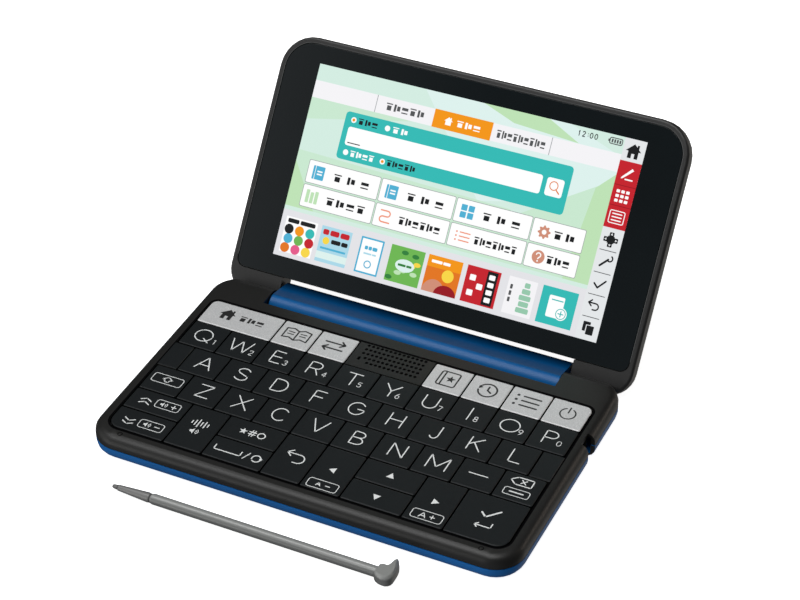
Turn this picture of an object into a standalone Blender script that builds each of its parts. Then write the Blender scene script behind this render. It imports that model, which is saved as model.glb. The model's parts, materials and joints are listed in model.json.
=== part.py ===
"""Pocket electronic dictionary: a keyboard base, a screen lid and a link that lets the lid fold all round.

X runs to the right, Y runs to the back and Z runs up.
The origin is at the middle of the base's flat underside.
All lengths are in metres.
"""
import math

import bmesh
import bpy
from mathutils import Matrix, Vector

# Clearances
REST_GAP = 0.0003
RUNNING_GAP = 0.0004
FOLD_CLEARANCE = 0.0001
OVERRUN = 0.010

# Base body
BASE_WIDTH = 0.152
BASE_THICKNESS = 0.0096
BASE_CORNER_RADIUS = 0.0100
BASE_FRONT_Y = -0.047
COVER_HEIGHT = 0.0050
COVER_EDGE_RADIUS = 0.0036
COVER_FLOOR = 0.0014
BASE_WALL = 0.0016
FRAME_EDGE_RADIUS = 0.0030
FRAME_TOP_WALL = 0.0015
EDGE_STEPS = 4
CORNER_STEPS = 7
FOOT_RADIUS = 0.0040
FOOT_INSET = 0.0110
FOOT_STEPS = 20
POST_RADIUS = 0.0024
POST_STEPS = 12
BUMPER_RADIUS = 0.0005
BUMPER_HEIGHT = 0.00015
BUMPER_SIDE_INSET = 0.0120
BUMPER_FRONT_INSET = 0.0035
BUMPER_STEPS = 10
DOOR_WIDTH = 0.0640
DOOR_DEPTH = 0.0400
DOOR_FRONT_INSET = 0.0150
DOOR_RADIUS = 0.0030
DOOR_GROOVE = 0.0005
DOOR_GROOVE_DEPTH = 0.0004
SCREW_RECESS_RADIUS = 0.0019
SCREW_RECESS_DEPTH = 0.0006

# Keyboard
KEY_COLUMNS = 10
MAIN_ROWS = 4
LOWER_ROWS = 2
LOWER_ROW_PITCH = 0.0103
KEY_FIELD_SIDE_BORDER = 0.00505
KEY_FIELD_FRONT_BORDER = 0.0057
KEY_GAP = 0.00045
KEY_HEIGHT = 0.0014
KEY_PROUD = 0.0002
KEY_BEVEL = 0.00028
KEY_CORNER_RADIUS = 0.0005
KEY_FRONT_RADIUS = 0.0042
KEY_REAR_RADIUS = 0.0024
KEY_STEM_WIDTH = 0.0026
KEY_STEM_DROP = 0.0012
KEY_ROUND_STEPS = 5

# Speaker grille
GRILLE_COLUMNS = 14
GRILLE_ROWS = 5
GRILLE_FULL_ROWS = 3
GRILLE_HOLE_RADIUS = 0.00042
GRILLE_HOLE_STEPS = 6
GRILLE_SIDE_SETBACK = 0.0034
GRILLE_FRONT_SETBACK = 0.0032
GRILLE_REAR_SETBACK = 0.0008
GRILLE_SLOT_WIDTH = 0.0006
GRILLE_SLOT_DEPTH = 0.0015
SPEAKER_DEPTH = 0.0100
SPEAKER_HEIGHT = 0.0030
SPEAKER_SIDE_GAP = 0.0024
SPEAKER_REAR_GAP = 0.00145

# Inner layers
SHEET_THICKNESS = 0.0009
SHEET_DROP = 0.0007
SHEET_OVERLAP = 0.0018
BOARD_THICKNESS = 0.0013
BOARD_BORDER = 0.0030

# Hinge link
HINGE_EAR_WIDTH = 0.0214
HINGE_NOTCH_LIP = 0.0052
BASE_NOTCH_GAP = 0.0020
LID_NOTCH_GAP = 0.00145
LID_NOTCH_MARGIN = 0.0005
LINK_ROLL_RADIUS = 0.0043
LINK_REAR_RADIUS = 0.0035
LINK_PIN_RADIUS = 0.0015
LINK_PIN_REACH = 0.0115
LINK_REST_ANGLE = math.radians(-8.0)
ROLL_STEPS = 14
PIN_STEPS = 16

# Screen lid
LID_THICKNESS = 0.0076
LID_REACH = 0.0894
LID_CORNER_RADIUS = 0.0120
LID_LOWER_RADIUS = 0.0090
LID_FRONT_EDGE_RADIUS = 0.0010
LID_BACK_EDGE_RADIUS = 0.0032
LID_BACK_WALL = 0.0015
LID_REST_ANGLE = math.radians(52.67)
GLASS_NOTCH_STEP = 0.00025
GLASS_SIDE_BORDER = 0.0023
GLASS_TOP_BORDER = 0.0023
GLASS_THICKNESS = 0.0010
GLASS_LOWER_RADIUS = 0.0030
GLASS_SINK = 0.0001
PANEL_BORDER = 0.0090
PANEL_LEDGE = 0.0022
PANEL_LOWER_LEDGE = 0.00155

# Stylus
STYLUS_RADIUS = 0.0018
STYLUS_CONE_RADIUS = 0.0010
STYLUS_LENGTH = 0.0926
STYLUS_CONE_LENGTH = 0.0116
STYLUS_GROOVE = 0.0006
STYLUS_GROOVE_DEPTH = 0.00025
STYLUS_TIP_RADIUS = 0.0008
STYLUS_TIP_LENGTH = 0.0020
STYLUS_TIP_SHANK_RADIUS = 0.0005
STYLUS_TIP_SHANK_LENGTH = 0.0020
STYLUS_HEAD_LENGTH = 0.0064
STYLUS_HEAD_REACH = 0.0036
STYLUS_HEAD_RISE = 0.0022
STYLUS_HOOK_REACH = 0.0068
STYLUS_STEPS = 16
STYLUS_CENTRE_X = -0.0100
STYLUS_DISTANCE = 0.0114

# Stylus silo, and the recess for the stylus head in the right side
SILO_SETBACK = 0.0150
SILO_WIDTH = 0.0043
SILO_WALL = 0.0006
SILO_FLOOR = 0.0005
SILO_LENGTH = 0.0990
RECESS_WIDTH = 0.0057
RECESS_DEPTH = 0.0026

# Keys as shares of the key pitch: name, first column, width
TOP_KEY_SHARES = (
    ("key_home", 0, 2),
    ("key_menu_1", 2, 1),
    ("key_menu_2", 3, 1),
    ("key_menu_3", 6, 1),
    ("key_menu_4", 7, 1),
    ("key_menu_5", 8, 1),
    ("key_power", 9, 1),
)
LETTER_ROW_SHARES = (
    (1, 0, "qwertyuiop"),
    (2, 0.5, "asdfghjkl"),
    (3, 1, "zxcvbnm"),
)
# Keys beside the lowest letter row: name, first column
SIDE_KEY_SHARES = (("key_shift", 0), ("key_dash", 8), ("key_delete", 9))
# Name, first column, width, first lower row, rows spanned
LOWER_KEY_SHARES = (
    ("key_page_down", 0, 1.5, 0, 1),
    ("key_page_up", 0, 1.5, 1, 1),
    ("key_voice", 1.5, 1, 0, 2),
    ("key_space", 2.5, 1.5, 0, 1),
    ("key_symbol", 2.5, 1.5, 1, 1),
    ("key_back", 4, 1, 0, 2),
    ("key_left", 5, 1, 0, 2),
    ("key_down", 6, 1.5, 0, 1),
    ("key_up", 6, 1.5, 1, 1),
    ("key_right", 7.5, 1, 0, 2),
    ("key_enter", 8.5, 1.5, 0, 2),
)
GRILLE_FIRST_COLUMN_SHARE = 4
GRILLE_WIDTH_SHARE = 2
FILLER_WIDTH_SHARE = 0.5

# Support posts as shares of the board's half width and of its depth
POST_SHARES = ((-0.9, 0.1), (0, 0.1), (0.9, 0.1), (-0.9, 0.9), (0, 0.9), (0.9, 0.9))

# Screw recesses in the underside as shares of the base's half width and of the depth of its hollow
SCREW_SHARES = ((-0.62, 0.1), (0.62, 0.1), (-0.62, 0.86), (0.62, 0.86))

# Stylus head in plan: shares of its length along the stylus, and of its reach or its hook's reach across
HEAD_FRONT_SHARES = (
    (0, -0.34), (0.05, -0.58), (0.16, -0.78), (0.34, -0.93), (0.54, -1), (0.72, -0.99),
    (0.86, -0.87), (0.96, -0.66), (1, -0.36), (1, 0.2),
)
HEAD_HOOK_SHARES = (
    (0.98, 0.4), (0.93, 0.6), (0.85, 0.78), (0.76, 0.92), (0.68, 1), (0.63, 0.82), (0.59, 0.62),
    (0.52, 0.47), (0.4, 0.41), (0.2, 0.42), (0.04, 0.33),
)
# Its crown: how far up from its middle or down to its foot, and the share of the plan that is left there
HEAD_FOOT_SHARES = ((-1, 0.88), (-0.75, 1))
HEAD_CROWN_SHARES = ((0.35, 1), (0.75, 0.92), (1, 0.74))

# Nib profile: shares of its length and radius
TIP_SHARES = ((0.4, 0.97), (0.72, 0.88), (0.93, 0.68), (1, 0.35))

# Derived places
BASE_HALF = BASE_WIDTH / 2
HINGE_Z = BASE_THICKNESS / 2
LID_HALF = LID_THICKNESS / 2
LINK_LENGTH = HINGE_Z + LID_HALF + RUNNING_GAP
HINGE_Y = BASE_FRONT_Y + LID_REACH
BASE_REAR_Y = HINGE_Y + HINGE_Z
NOTCH_Y = HINGE_Y - LINK_ROLL_RADIUS - BASE_NOTCH_GAP
NOTCH_HALF = BASE_HALF - HINGE_EAR_WIDTH
LID_NOTCH_EDGE = LINK_REAR_RADIUS + LID_NOTCH_GAP
LID_NOTCH_HALF = NOTCH_HALF + LID_NOTCH_MARGIN
FIELD_HALF = BASE_HALF - KEY_FIELD_SIDE_BORDER
FIELD_FRONT = BASE_FRONT_Y + KEY_FIELD_FRONT_BORDER
FIELD_REAR = NOTCH_Y - HINGE_NOTCH_LIP
KEY_PITCH = 2 * FIELD_HALF / KEY_COLUMNS
MAIN_FRONT = FIELD_FRONT + LOWER_ROWS * LOWER_ROW_PITCH
MAIN_ROW_PITCH = (FIELD_REAR - MAIN_FRONT) / MAIN_ROWS
ROW_FRONTS = [MAIN_FRONT + row * MAIN_ROW_PITCH for row in range(MAIN_ROWS)]
WINDOW_FRONT_RADIUS = KEY_FRONT_RADIUS + KEY_GAP
WINDOW_REAR_RADIUS = KEY_REAR_RADIUS + KEY_GAP
FRAME_BOTTOM = COVER_HEIGHT + REST_GAP
FRAME_UNDERSIDE = BASE_THICKNESS - FRAME_TOP_WALL
FRAME_EDGE = min(FRAME_EDGE_RADIUS, BASE_THICKNESS - FRAME_BOTTOM - REST_GAP)
COVER_EDGE = min(COVER_EDGE_RADIUS, COVER_HEIGHT - REST_GAP)
FOOT_HEIGHT = RUNNING_GAP - FOLD_CLEARANCE
KEY_TOP = BASE_THICKNESS + KEY_PROUD
KEY_BOTTOM = KEY_TOP - KEY_HEIGHT
SHEET_TOP = KEY_BOTTOM - SHEET_DROP
SHEET_BOTTOM = SHEET_TOP - SHEET_THICKNESS
BOARD_TOP = SHEET_BOTTOM - REST_GAP
BOARD_BOTTOM = BOARD_TOP - BOARD_THICKNESS
CAVITY_REAR = NOTCH_Y - BASE_WALL
SILO_Y = FIELD_REAR - SILO_SETBACK
SILO_OUTER_HALF = SILO_WIDTH / 2 + SILO_WALL
SPEAKER_REAR = FIELD_REAR - SPEAKER_REAR_GAP
SPEAKER_FRONT = SPEAKER_REAR - SPEAKER_DEPTH
LINK_HALF = NOTCH_HALF - RUNNING_GAP
PIN_END = LINK_HALF + LINK_PIN_REACH
BORE_RADIUS = LINK_PIN_RADIUS + REST_GAP
HINGE_POINT = Vector((0, HINGE_Y, HINGE_Z))
LINK_TURN = Matrix.Rotation(LINK_REST_ANGLE, 4, "X")
LID_POINT = HINGE_POINT + LINK_TURN @ Vector((0, LINK_LENGTH, 0))


def make_material(name, color, roughness, metallic=0.0):
    """A plain Principled material of one colour."""
    material = bpy.data.materials.new(name)
    material.use_nodes = True
    shader = material.node_tree.nodes["Principled BSDF"]
    shader.inputs["Base Color"].default_value = (*color, 1)
    shader.inputs["Roughness"].default_value = roughness
    shader.inputs["Metallic"].default_value = metallic
    return material


def add_object(name, bm, color=None, roughness=0.5, metallic=0.0, origin=None, smooth=False):
    """Turn a bmesh into an object whose origin is at the given point."""
    origin = origin or Vector((0, 0, 0))
    bmesh.ops.translate(bm, verts=bm.verts, vec=-origin)
    bmesh.ops.recalc_face_normals(bm, faces=bm.faces)
    mesh = bpy.data.meshes.new(name)
    bm.to_mesh(mesh)
    bm.free()
    if smooth:
        mesh.shade_smooth()
        mesh.set_sharp_from_angle(angle=math.radians(35))
    obj = bpy.data.objects.new(name, mesh)
    obj.location = origin
    bpy.context.scene.collection.objects.link(obj)
    if color:
        mesh.materials.append(make_material(name, color, roughness, metallic))
    else:
        obj.hide_render = True
        obj.display_type = "WIRE"
    return obj


def combine(target, tool, operation):
    """Cut a tool from a target, or fuse it on."""
    modifier = target.modifiers.new(tool.name, "BOOLEAN")
    modifier.operation = operation
    modifier.solver = "EXACT"
    modifier.object = tool
    tool.hide_render = True
    tool.display_type = "WIRE"


def cut(target, tool):
    combine(target, tool, "DIFFERENCE")


def fuse(target, tool):
    combine(target, tool, "UNION")


def corner_arc(centre_x, centre_y, radius, start, steps):
    """Points of a quarter turn, first and last included."""
    points = []
    for step in range(steps + 1):
        angle = start + math.pi / 2 * step / steps
        points.append((centre_x + radius * math.cos(angle), centre_y + radius * math.sin(angle)))
    return points


def rounded_outline(x0, x1, y0, y1, radii, steps):
    """Anticlockwise outline with a radius and a step count for each corner.

    The corners run front left, front right, rear right, rear left.
    """
    places = (
        (x0, y0, 1, 1, math.pi),
        (x1, y0, -1, 1, 1.5 * math.pi),
        (x1, y1, -1, -1, 0),
        (x0, y1, 1, -1, 0.5 * math.pi),
    )
    points = []
    for (x, y, side_x, side_y, start), radius, count in zip(places, radii, steps):
        points += corner_arc(x + side_x * radius, y + side_y * radius, radius, start, count)
    return points


def ring(outline, z):
    return [Vector((x, y, z)) for x, y in outline]


def loft(rings, closed=False):
    """Skin a list of rings with equal counts, capped at both ends or joined end to end."""
    bm = bmesh.new()
    loops = [[bm.verts.new(point) for point in points] for points in rings]
    pairs = list(zip(loops, loops[1:]))
    if closed:
        pairs.append((loops[-1], loops[0]))
    for lower, upper in pairs:
        for index in range(len(lower)):
            following = (index + 1) % len(lower)
            bm.faces.new((lower[index], lower[following], upper[following], upper[index]))
    if not closed:
        bm.faces.new(list(reversed(loops[0])))
        bm.faces.new(loops[-1])
    return bm


def box(x0, x1, y0, y1, z0, z1):
    outline = ((x0, y0), (x1, y0), (x1, y1), (x0, y1))
    return loft([ring(outline, z0), ring(outline, z1)])


def extrude_x(outline, x0, x1):
    """Extrude a Y and Z outline along X."""
    return loft([[Vector((x, y, z)) for y, z in outline] for x in (x0, x1)])


def circle_x(x, radius, steps, y=0, z=0):
    points = []
    for step in range(steps):
        angle = 2 * math.pi * step / steps
        points.append(Vector((x, y + radius * math.cos(angle), z + radius * math.sin(angle))))
    return points


def rod_x(x0, x1, radius, steps, y=0, z=0):
    return loft([circle_x(x0, radius, steps, y, z), circle_x(x1, radius, steps, y, z)])


def disc(x, y, radius, z0, z1, steps):
    outline = []
    for step in range(steps):
        angle = 2 * math.pi * step / steps
        outline.append((x + radius * math.cos(angle), y + radius * math.sin(angle)))
    return loft([ring(outline, z0), ring(outline, z1)])


def gather(pieces):
    """Join separate closed shapes into one bmesh."""
    bm = bmesh.new()
    for piece in pieces:
        mesh = bpy.data.meshes.new("gathered")
        piece.to_mesh(mesh)
        piece.free()
        bm.from_mesh(mesh)
        bpy.data.meshes.remove(mesh)
    return bm


def base_outline(inset):
    """Plan of the base, drawn in by an inset."""
    radius = BASE_CORNER_RADIUS - inset
    half = BASE_HALF - inset
    return rounded_outline(
        -half, half, BASE_FRONT_Y + inset, BASE_REAR_Y - inset, [radius] * 4, [CORNER_STEPS] * 4
    )


def cavity_outline():
    """Plan of the hollow inside both base shells."""
    radius = BASE_CORNER_RADIUS - BASE_WALL
    half = BASE_HALF - BASE_WALL
    radii = (radius, radius, FRAME_EDGE, FRAME_EDGE)
    return rounded_outline(-half, half, BASE_FRONT_Y + BASE_WALL, CAVITY_REAR, radii, [CORNER_STEPS] * 4)


def window_outline():
    """Plan of the opening round the keys."""
    half = FIELD_HALF + KEY_GAP / 2
    front = FIELD_FRONT - KEY_GAP / 2
    rear = FIELD_REAR + KEY_GAP / 2
    radii = (WINDOW_FRONT_RADIUS, WINDOW_FRONT_RADIUS, WINDOW_REAR_RADIUS, WINDOW_REAR_RADIUS)
    return rounded_outline(-half, half, front, rear, radii, [CORNER_STEPS] * 4)


def edge_rings(outline_at, radius, z, start, end):
    """Rings of a rounded edge, from one angle of its section to another."""
    rings = []
    for step in range(EDGE_STEPS + 1):
        angle = start + (end - start) * step / EDGE_STEPS
        rings.append(ring(outline_at(radius - radius * math.cos(angle)), z + radius * math.sin(angle)))
    return rings


def roll_cutter(name, radius, side):
    """What lies outside a round end of the given radius, for an end that faces one way along Y."""
    outline = []
    for step in range(ROLL_STEPS + 1):
        angle = math.pi / 2 - math.pi * step / ROLL_STEPS
        outline.append((side * radius * math.cos(angle), radius * math.sin(angle)))
    outline += [
        (0, -radius - OVERRUN),
        (side * (radius + OVERRUN), -radius - OVERRUN),
        (side * (radius + OVERRUN), radius + OVERRUN),
        (0, radius + OVERRUN),
    ]
    return extrude_x(outline, -BASE_HALF - OVERRUN, BASE_HALF + OVERRUN)


def build_base_tools():
    """Cutters that both base shells share."""
    tools = []
    bm = roll_cutter("rear_roll_cutter", HINGE_Z, 1)
    bmesh.ops.translate(bm, verts=bm.verts, vec=HINGE_POINT)
    tools.append(add_object("rear_roll_cutter", bm, origin=HINGE_POINT))
    bm = box(-NOTCH_HALF, NOTCH_HALF, NOTCH_Y, BASE_REAR_Y + OVERRUN, -OVERRUN, BASE_THICKNESS + OVERRUN)
    tools.append(add_object("link_notch_cutter", bm))
    bore_end = PIN_END + REST_GAP
    bm = rod_x(-bore_end, bore_end, BORE_RADIUS, PIN_STEPS, HINGE_Y, HINGE_Z)
    tools.append(add_object("base_bore_cutter", bm, origin=HINGE_POINT))
    bm = box(
        BASE_HALF - RECESS_DEPTH, BASE_HALF + OVERRUN,
        SILO_Y - RECESS_WIDTH / 2, SILO_Y + RECESS_WIDTH / 2,
        -OVERRUN, BASE_THICKNESS + OVERRUN,
    )
    tools.append(add_object("stylus_recess_cutter", bm))
    return tools


def build_door_groove():
    """Groove round the battery door in the underside."""
    half = DOOR_WIDTH / 2
    front = BASE_FRONT_Y + DOOR_FRONT_INSET
    section = (
        (0, -OVERRUN),
        (0, DOOR_GROOVE_DEPTH),
        (DOOR_GROOVE, DOOR_GROOVE_DEPTH),
        (DOOR_GROOVE, -OVERRUN),
    )
    rings = []
    for inset, z in section:
        outline = rounded_outline(
            -half + inset, half - inset, front + inset, front + DOOR_DEPTH - inset,
            [DOOR_RADIUS - inset] * 4, [EDGE_STEPS] * 4,
        )
        rings.append(ring(outline, z))
    return loft(rings, closed=True)


def build_bottom_cover(tools):
    """Blue tray with rounded lower edges, solid hinge shoulders, posts, feet and a battery door."""
    rings = edge_rings(base_outline, COVER_EDGE, COVER_EDGE, -math.pi / 2, 0)
    rings.append(ring(base_outline(0), COVER_HEIGHT))
    rings.append(ring(cavity_outline(), COVER_HEIGHT))
    rings.append(ring(cavity_outline(), COVER_FLOOR))
    cover = add_object("bottom_cover", loft(rings), (0.012, 0.075, 0.235), 0.35, smooth=True)
    for tool in tools:
        cut(cover, tool)
    board_half = BASE_HALF - BOARD_BORDER
    board_front = BASE_FRONT_Y + BOARD_BORDER
    board_depth = SILO_Y - SILO_OUTER_HALF - REST_GAP - board_front
    for index, (side, along) in enumerate(POST_SHARES):
        x = side * board_half
        y = board_front + along * board_depth
        bm = disc(x, y, POST_RADIUS, COVER_FLOOR / 2, BOARD_BOTTOM - REST_GAP, POST_STEPS)
        fuse(cover, add_object("board_post_%d" % (index + 1), bm))
    for index, side in enumerate((-1, 1)):
        for row, y in enumerate((BASE_FRONT_Y + FOOT_INSET, CAVITY_REAR - FOOT_RADIUS)):
            x = side * (BASE_HALF - FOOT_INSET)
            bm = disc(x, y, FOOT_RADIUS, -FOOT_HEIGHT, COVER_FLOOR / 2, FOOT_STEPS)
            fuse(cover, add_object("foot_%d_%d" % (index + 1, row + 1), bm))
    cut(cover, add_object("door_groove_cutter", build_door_groove()))
    recesses = []
    for side, along in SCREW_SHARES:
        x = side * BASE_HALF
        y = BASE_FRONT_Y + along * (CAVITY_REAR - BASE_FRONT_Y)
        recesses.append(disc(x, y, SCREW_RECESS_RADIUS, -OVERRUN, SCREW_RECESS_DEPTH, POST_STEPS))
    cut(cover, add_object("screw_recess_cutter", gather(recesses)))


def build_key_frame(tools):
    """Black top shell with a window for the keys, two bumpers and a blank filler at each end of one row."""
    arc_z = BASE_THICKNESS - FRAME_EDGE
    rings = [ring(base_outline(0), FRAME_BOTTOM)]
    rings += edge_rings(base_outline, FRAME_EDGE, arc_z, 0, math.pi / 2)
    rings.append(ring(window_outline(), BASE_THICKNESS))
    rings.append(ring(window_outline(), FRAME_UNDERSIDE))
    rings.append(ring(cavity_outline(), FRAME_UNDERSIDE))
    rings.append(ring(cavity_outline(), FRAME_BOTTOM))
    frame = add_object("key_frame", loft(rings, closed=True), (0.013, 0.013, 0.014), 0.42, smooth=True)
    for tool in tools:
        cut(frame, tool)
    y0 = ROW_FRONTS[1] + KEY_GAP / 2
    y1 = ROW_FRONTS[2] - KEY_GAP / 2
    inner = FIELD_HALF - FILLER_WIDTH_SHARE * KEY_PITCH + KEY_GAP / 2
    outer = FIELD_HALF + KEY_GAP
    bottom = FRAME_UNDERSIDE + REST_GAP
    for side, word in ((-1, "left"), (1, "right")):
        rings = []
        for inset, z in ((0, bottom), (0, KEY_TOP - KEY_BEVEL), (KEY_BEVEL, KEY_TOP)):
            x0, x1 = sorted((side * (inner + inset), side * (outer - inset)))
            outline = ((x0, y0 + inset), (x1, y0 + inset), (x1, y1 - inset), (x0, y1 - inset))
            rings.append(ring(outline, z))
        fuse(frame, add_object("blank_filler_%s" % word, loft(rings)))
        x = side * (BASE_HALF - BUMPER_SIDE_INSET)
        y = BASE_FRONT_Y + BUMPER_FRONT_INSET
        top = BASE_THICKNESS + BUMPER_HEIGHT
        bm = disc(x, y, BUMPER_RADIUS, bottom, top, BUMPER_STEPS)
        fuse(frame, add_object("bumper_%s" % word, bm))


def build_key(name, x0, x1, y0, y1, color, roughness, metallic=0.0, round_corner=None):
    """Key cap with a bevelled top edge on a square guide stem; its origin lies on its line of travel."""
    radii = [KEY_CORNER_RADIUS] * 4
    steps = [1] * 4
    if round_corner is not None:
        radii[round_corner] = KEY_FRONT_RADIUS if round_corner < 2 else KEY_REAR_RADIUS
        steps[round_corner] = KEY_ROUND_STEPS
    x0, x1 = x0 + KEY_GAP / 2, x1 - KEY_GAP / 2
    y0, y1 = y0 + KEY_GAP / 2, y1 - KEY_GAP / 2
    centre = Vector(((x0 + x1) / 2, (y0 + y1) / 2, KEY_BOTTOM))
    stem = KEY_STEM_WIDTH / 2
    stem_outline = rounded_outline(
        centre.x - stem, centre.x + stem, centre.y - stem, centre.y + stem, [KEY_CORNER_RADIUS] * 4, steps
    )
    outline = rounded_outline(x0, x1, y0, y1, radii, steps)
    top_radii = [radius - KEY_BEVEL for radius in radii]
    top_outline = rounded_outline(
        x0 + KEY_BEVEL, x1 - KEY_BEVEL, y0 + KEY_BEVEL, y1 - KEY_BEVEL, top_radii, steps
    )
    rings = [
        ring(stem_outline, KEY_BOTTOM - KEY_STEM_DROP),
        ring(stem_outline, KEY_BOTTOM),
        ring(outline, KEY_BOTTOM),
        ring(outline, KEY_TOP - KEY_BEVEL),
        ring(top_outline, KEY_TOP),
    ]
    return add_object(name, loft(rings), color, roughness, metallic, origin=centre)


def key_cells():
    """Every key's name, cell, look and rounded corner."""
    cells = []
    for name, column, width in TOP_KEY_SHARES:
        corner = {"key_home": 3, "key_power": 2}.get(name)
        cells.append((name, column, width, ROW_FRONTS[-1], MAIN_ROW_PITCH, "silver", corner))
    for row, first, letters in LETTER_ROW_SHARES:
        front = ROW_FRONTS[MAIN_ROWS - 1 - row]
        for index, letter in enumerate(letters):
            cells.append(("key_%s" % letter, first + index, 1, front, MAIN_ROW_PITCH, "black", None))
    for name, column in SIDE_KEY_SHARES:
        cells.append((name, column, 1, ROW_FRONTS[0], MAIN_ROW_PITCH, "black", None))
    for name, column, width, row, span in LOWER_KEY_SHARES:
        corner = {"key_page_down": 0, "key_enter": 1}.get(name)
        front = FIELD_FRONT + row * LOWER_ROW_PITCH
        cells.append((name, column, width, front, span * LOWER_ROW_PITCH, "black", corner))
    return cells


def build_keys():
    looks = {"silver": ((0.56, 0.56, 0.56), 0.38, 0.35), "black": ((0.011, 0.013, 0.014), 0.5, 0.0)}
    centres = []
    for name, column, width, front, depth, look, corner in key_cells():
        color, roughness, metallic = looks[look]
        x0 = column * KEY_PITCH - FIELD_HALF
        x1 = x0 + width * KEY_PITCH
        key = build_key(name, x0, x1, front, front + depth, color, roughness, metallic, corner)
        centres.append(key.location.copy())
    return centres


def build_keypad_sheet(centres):
    """Silicone sheet under the keys, with a square hole for every stem and a bay for the speaker."""
    half = FIELD_HALF + SHEET_OVERLAP
    front = FIELD_FRONT - SHEET_OVERLAP
    rear = FIELD_REAR + SHEET_OVERLAP
    radius = BASE_CORNER_RADIUS - BASE_WALL
    outline = rounded_outline(
        -half, half, front, rear, (radius, radius, KEY_CORNER_RADIUS, KEY_CORNER_RADIUS),
        (CORNER_STEPS, CORNER_STEPS, 1, 1),
    )
    bm = loft([ring(outline, SHEET_BOTTOM), ring(outline, SHEET_TOP)])
    sheet = add_object("keypad_sheet", bm, (0.09, 0.09, 0.1), 0.7)
    hole = KEY_STEM_WIDTH / 2 + REST_GAP
    below = SHEET_BOTTOM - SHEET_THICKNESS
    above = SHEET_TOP + SHEET_THICKNESS
    pieces = []
    for centre in centres:
        pieces.append(box(centre.x - hole, centre.x + hole, centre.y - hole, centre.y + hole, below, above))
    cut(sheet, add_object("stem_hole_cutter", gather(pieces)))
    bay = GRILLE_WIDTH_SHARE * KEY_PITCH / 2 - KEY_GAP
    bm = box(-bay, bay, SPEAKER_FRONT - SPEAKER_REAR_GAP, rear + OVERRUN, below, above)
    cut(sheet, add_object("speaker_bay_cutter", bm))


def build_main_board():
    """Circuit board on the cover's posts, in front of the stylus silo."""
    half = BASE_HALF - BOARD_BORDER
    front = BASE_FRONT_Y + BOARD_BORDER
    rear = SILO_Y - SILO_OUTER_HALF - REST_GAP
    radius = BASE_CORNER_RADIUS - BOARD_BORDER
    square = KEY_CORNER_RADIUS
    outline = rounded_outline(
        -half, half, front, rear, (radius, radius, square, square), (CORNER_STEPS, CORNER_STEPS, 1, 1)
    )
    bm = loft([ring(outline, BOARD_BOTTOM), ring(outline, BOARD_TOP)])
    add_object("main_board", bm, (0.02, 0.13, 0.06), 0.5)


def grille_plate_limits():
    x0 = GRILLE_FIRST_COLUMN_SHARE * KEY_PITCH - FIELD_HALF + KEY_GAP / 2
    x1 = x0 + GRILLE_WIDTH_SHARE * KEY_PITCH - KEY_GAP
    y0 = ROW_FRONTS[-1] + KEY_GAP / 2
    y1 = FIELD_REAR + KEY_GAP / 2 - REST_GAP
    return x0, x1, y0, y1


def build_speaker_grille():
    """Plate with five rows of fine holes between the silver keys."""
    x0, x1, y0, y1 = grille_plate_limits()
    plate = add_object(
        "speaker_grille", box(x0, x1, y0, y1, FRAME_UNDERSIDE, BASE_THICKNESS), (0.013, 0.013, 0.014), 0.42
    )
    below = FRAME_UNDERSIDE - FRAME_TOP_WALL
    above = BASE_THICKNESS + FRAME_TOP_WALL
    first_x = x0 + GRILLE_SIDE_SETBACK
    first_y = y1 - GRILLE_REAR_SETBACK
    pitch = (x1 - GRILLE_SIDE_SETBACK - first_x) / (GRILLE_COLUMNS - 1)
    row_pitch = (first_y - y0 - GRILLE_FRONT_SETBACK) / (GRILLE_ROWS - 1)
    pieces = []
    for row in range(GRILLE_ROWS):
        y = first_y - row * row_pitch
        skipped = max(0, row + 1 - GRILLE_FULL_ROWS)
        for column in range(skipped, GRILLE_COLUMNS):
            x = first_x + column * pitch
            pieces.append(disc(x, y, GRILLE_HOLE_RADIUS, below, above, GRILLE_HOLE_STEPS))
    y = first_y - GRILLE_FULL_ROWS * row_pitch
    pieces.append(box(first_x - GRILLE_SLOT_WIDTH, first_x, y - GRILLE_SLOT_DEPTH, y, below, above))
    cut(plate, add_object("grille_hole_cutter", gather(pieces)))


def build_speaker():
    """Flat oval speaker just under the grille."""
    half = GRILLE_WIDTH_SHARE * KEY_PITCH / 2 - SPEAKER_SIDE_GAP
    top = FRAME_UNDERSIDE - REST_GAP
    radius = SPEAKER_DEPTH / 2 - KEY_CORNER_RADIUS
    outline = rounded_outline(-half, half, SPEAKER_FRONT, SPEAKER_REAR, [radius] * 4, [CORNER_STEPS] * 4)
    bm = loft([ring(outline, top - SPEAKER_HEIGHT), ring(outline, top)])
    add_object("speaker", bm, (0.03, 0.03, 0.03), 0.6)


def build_stylus_holder():
    """Channel for the stylus, closed at its inner end and open at the recess in the right side."""
    mouth = BASE_HALF - RECESS_DEPTH - REST_GAP
    bottom = COVER_FLOOR + REST_GAP
    top = BOARD_TOP
    bm = box(mouth - SILO_LENGTH, mouth, SILO_Y - SILO_OUTER_HALF, SILO_Y + SILO_OUTER_HALF, bottom, top)
    holder = add_object("stylus_holder", bm, (0.02, 0.02, 0.02), 0.6)
    bm = box(
        mouth - SILO_LENGTH + SILO_WALL, mouth + OVERRUN,
        SILO_Y - SILO_WIDTH / 2, SILO_Y + SILO_WIDTH / 2,
        bottom + SILO_FLOOR, top + OVERRUN,
    )
    cut(holder, add_object("silo_cutter", bm))


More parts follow.
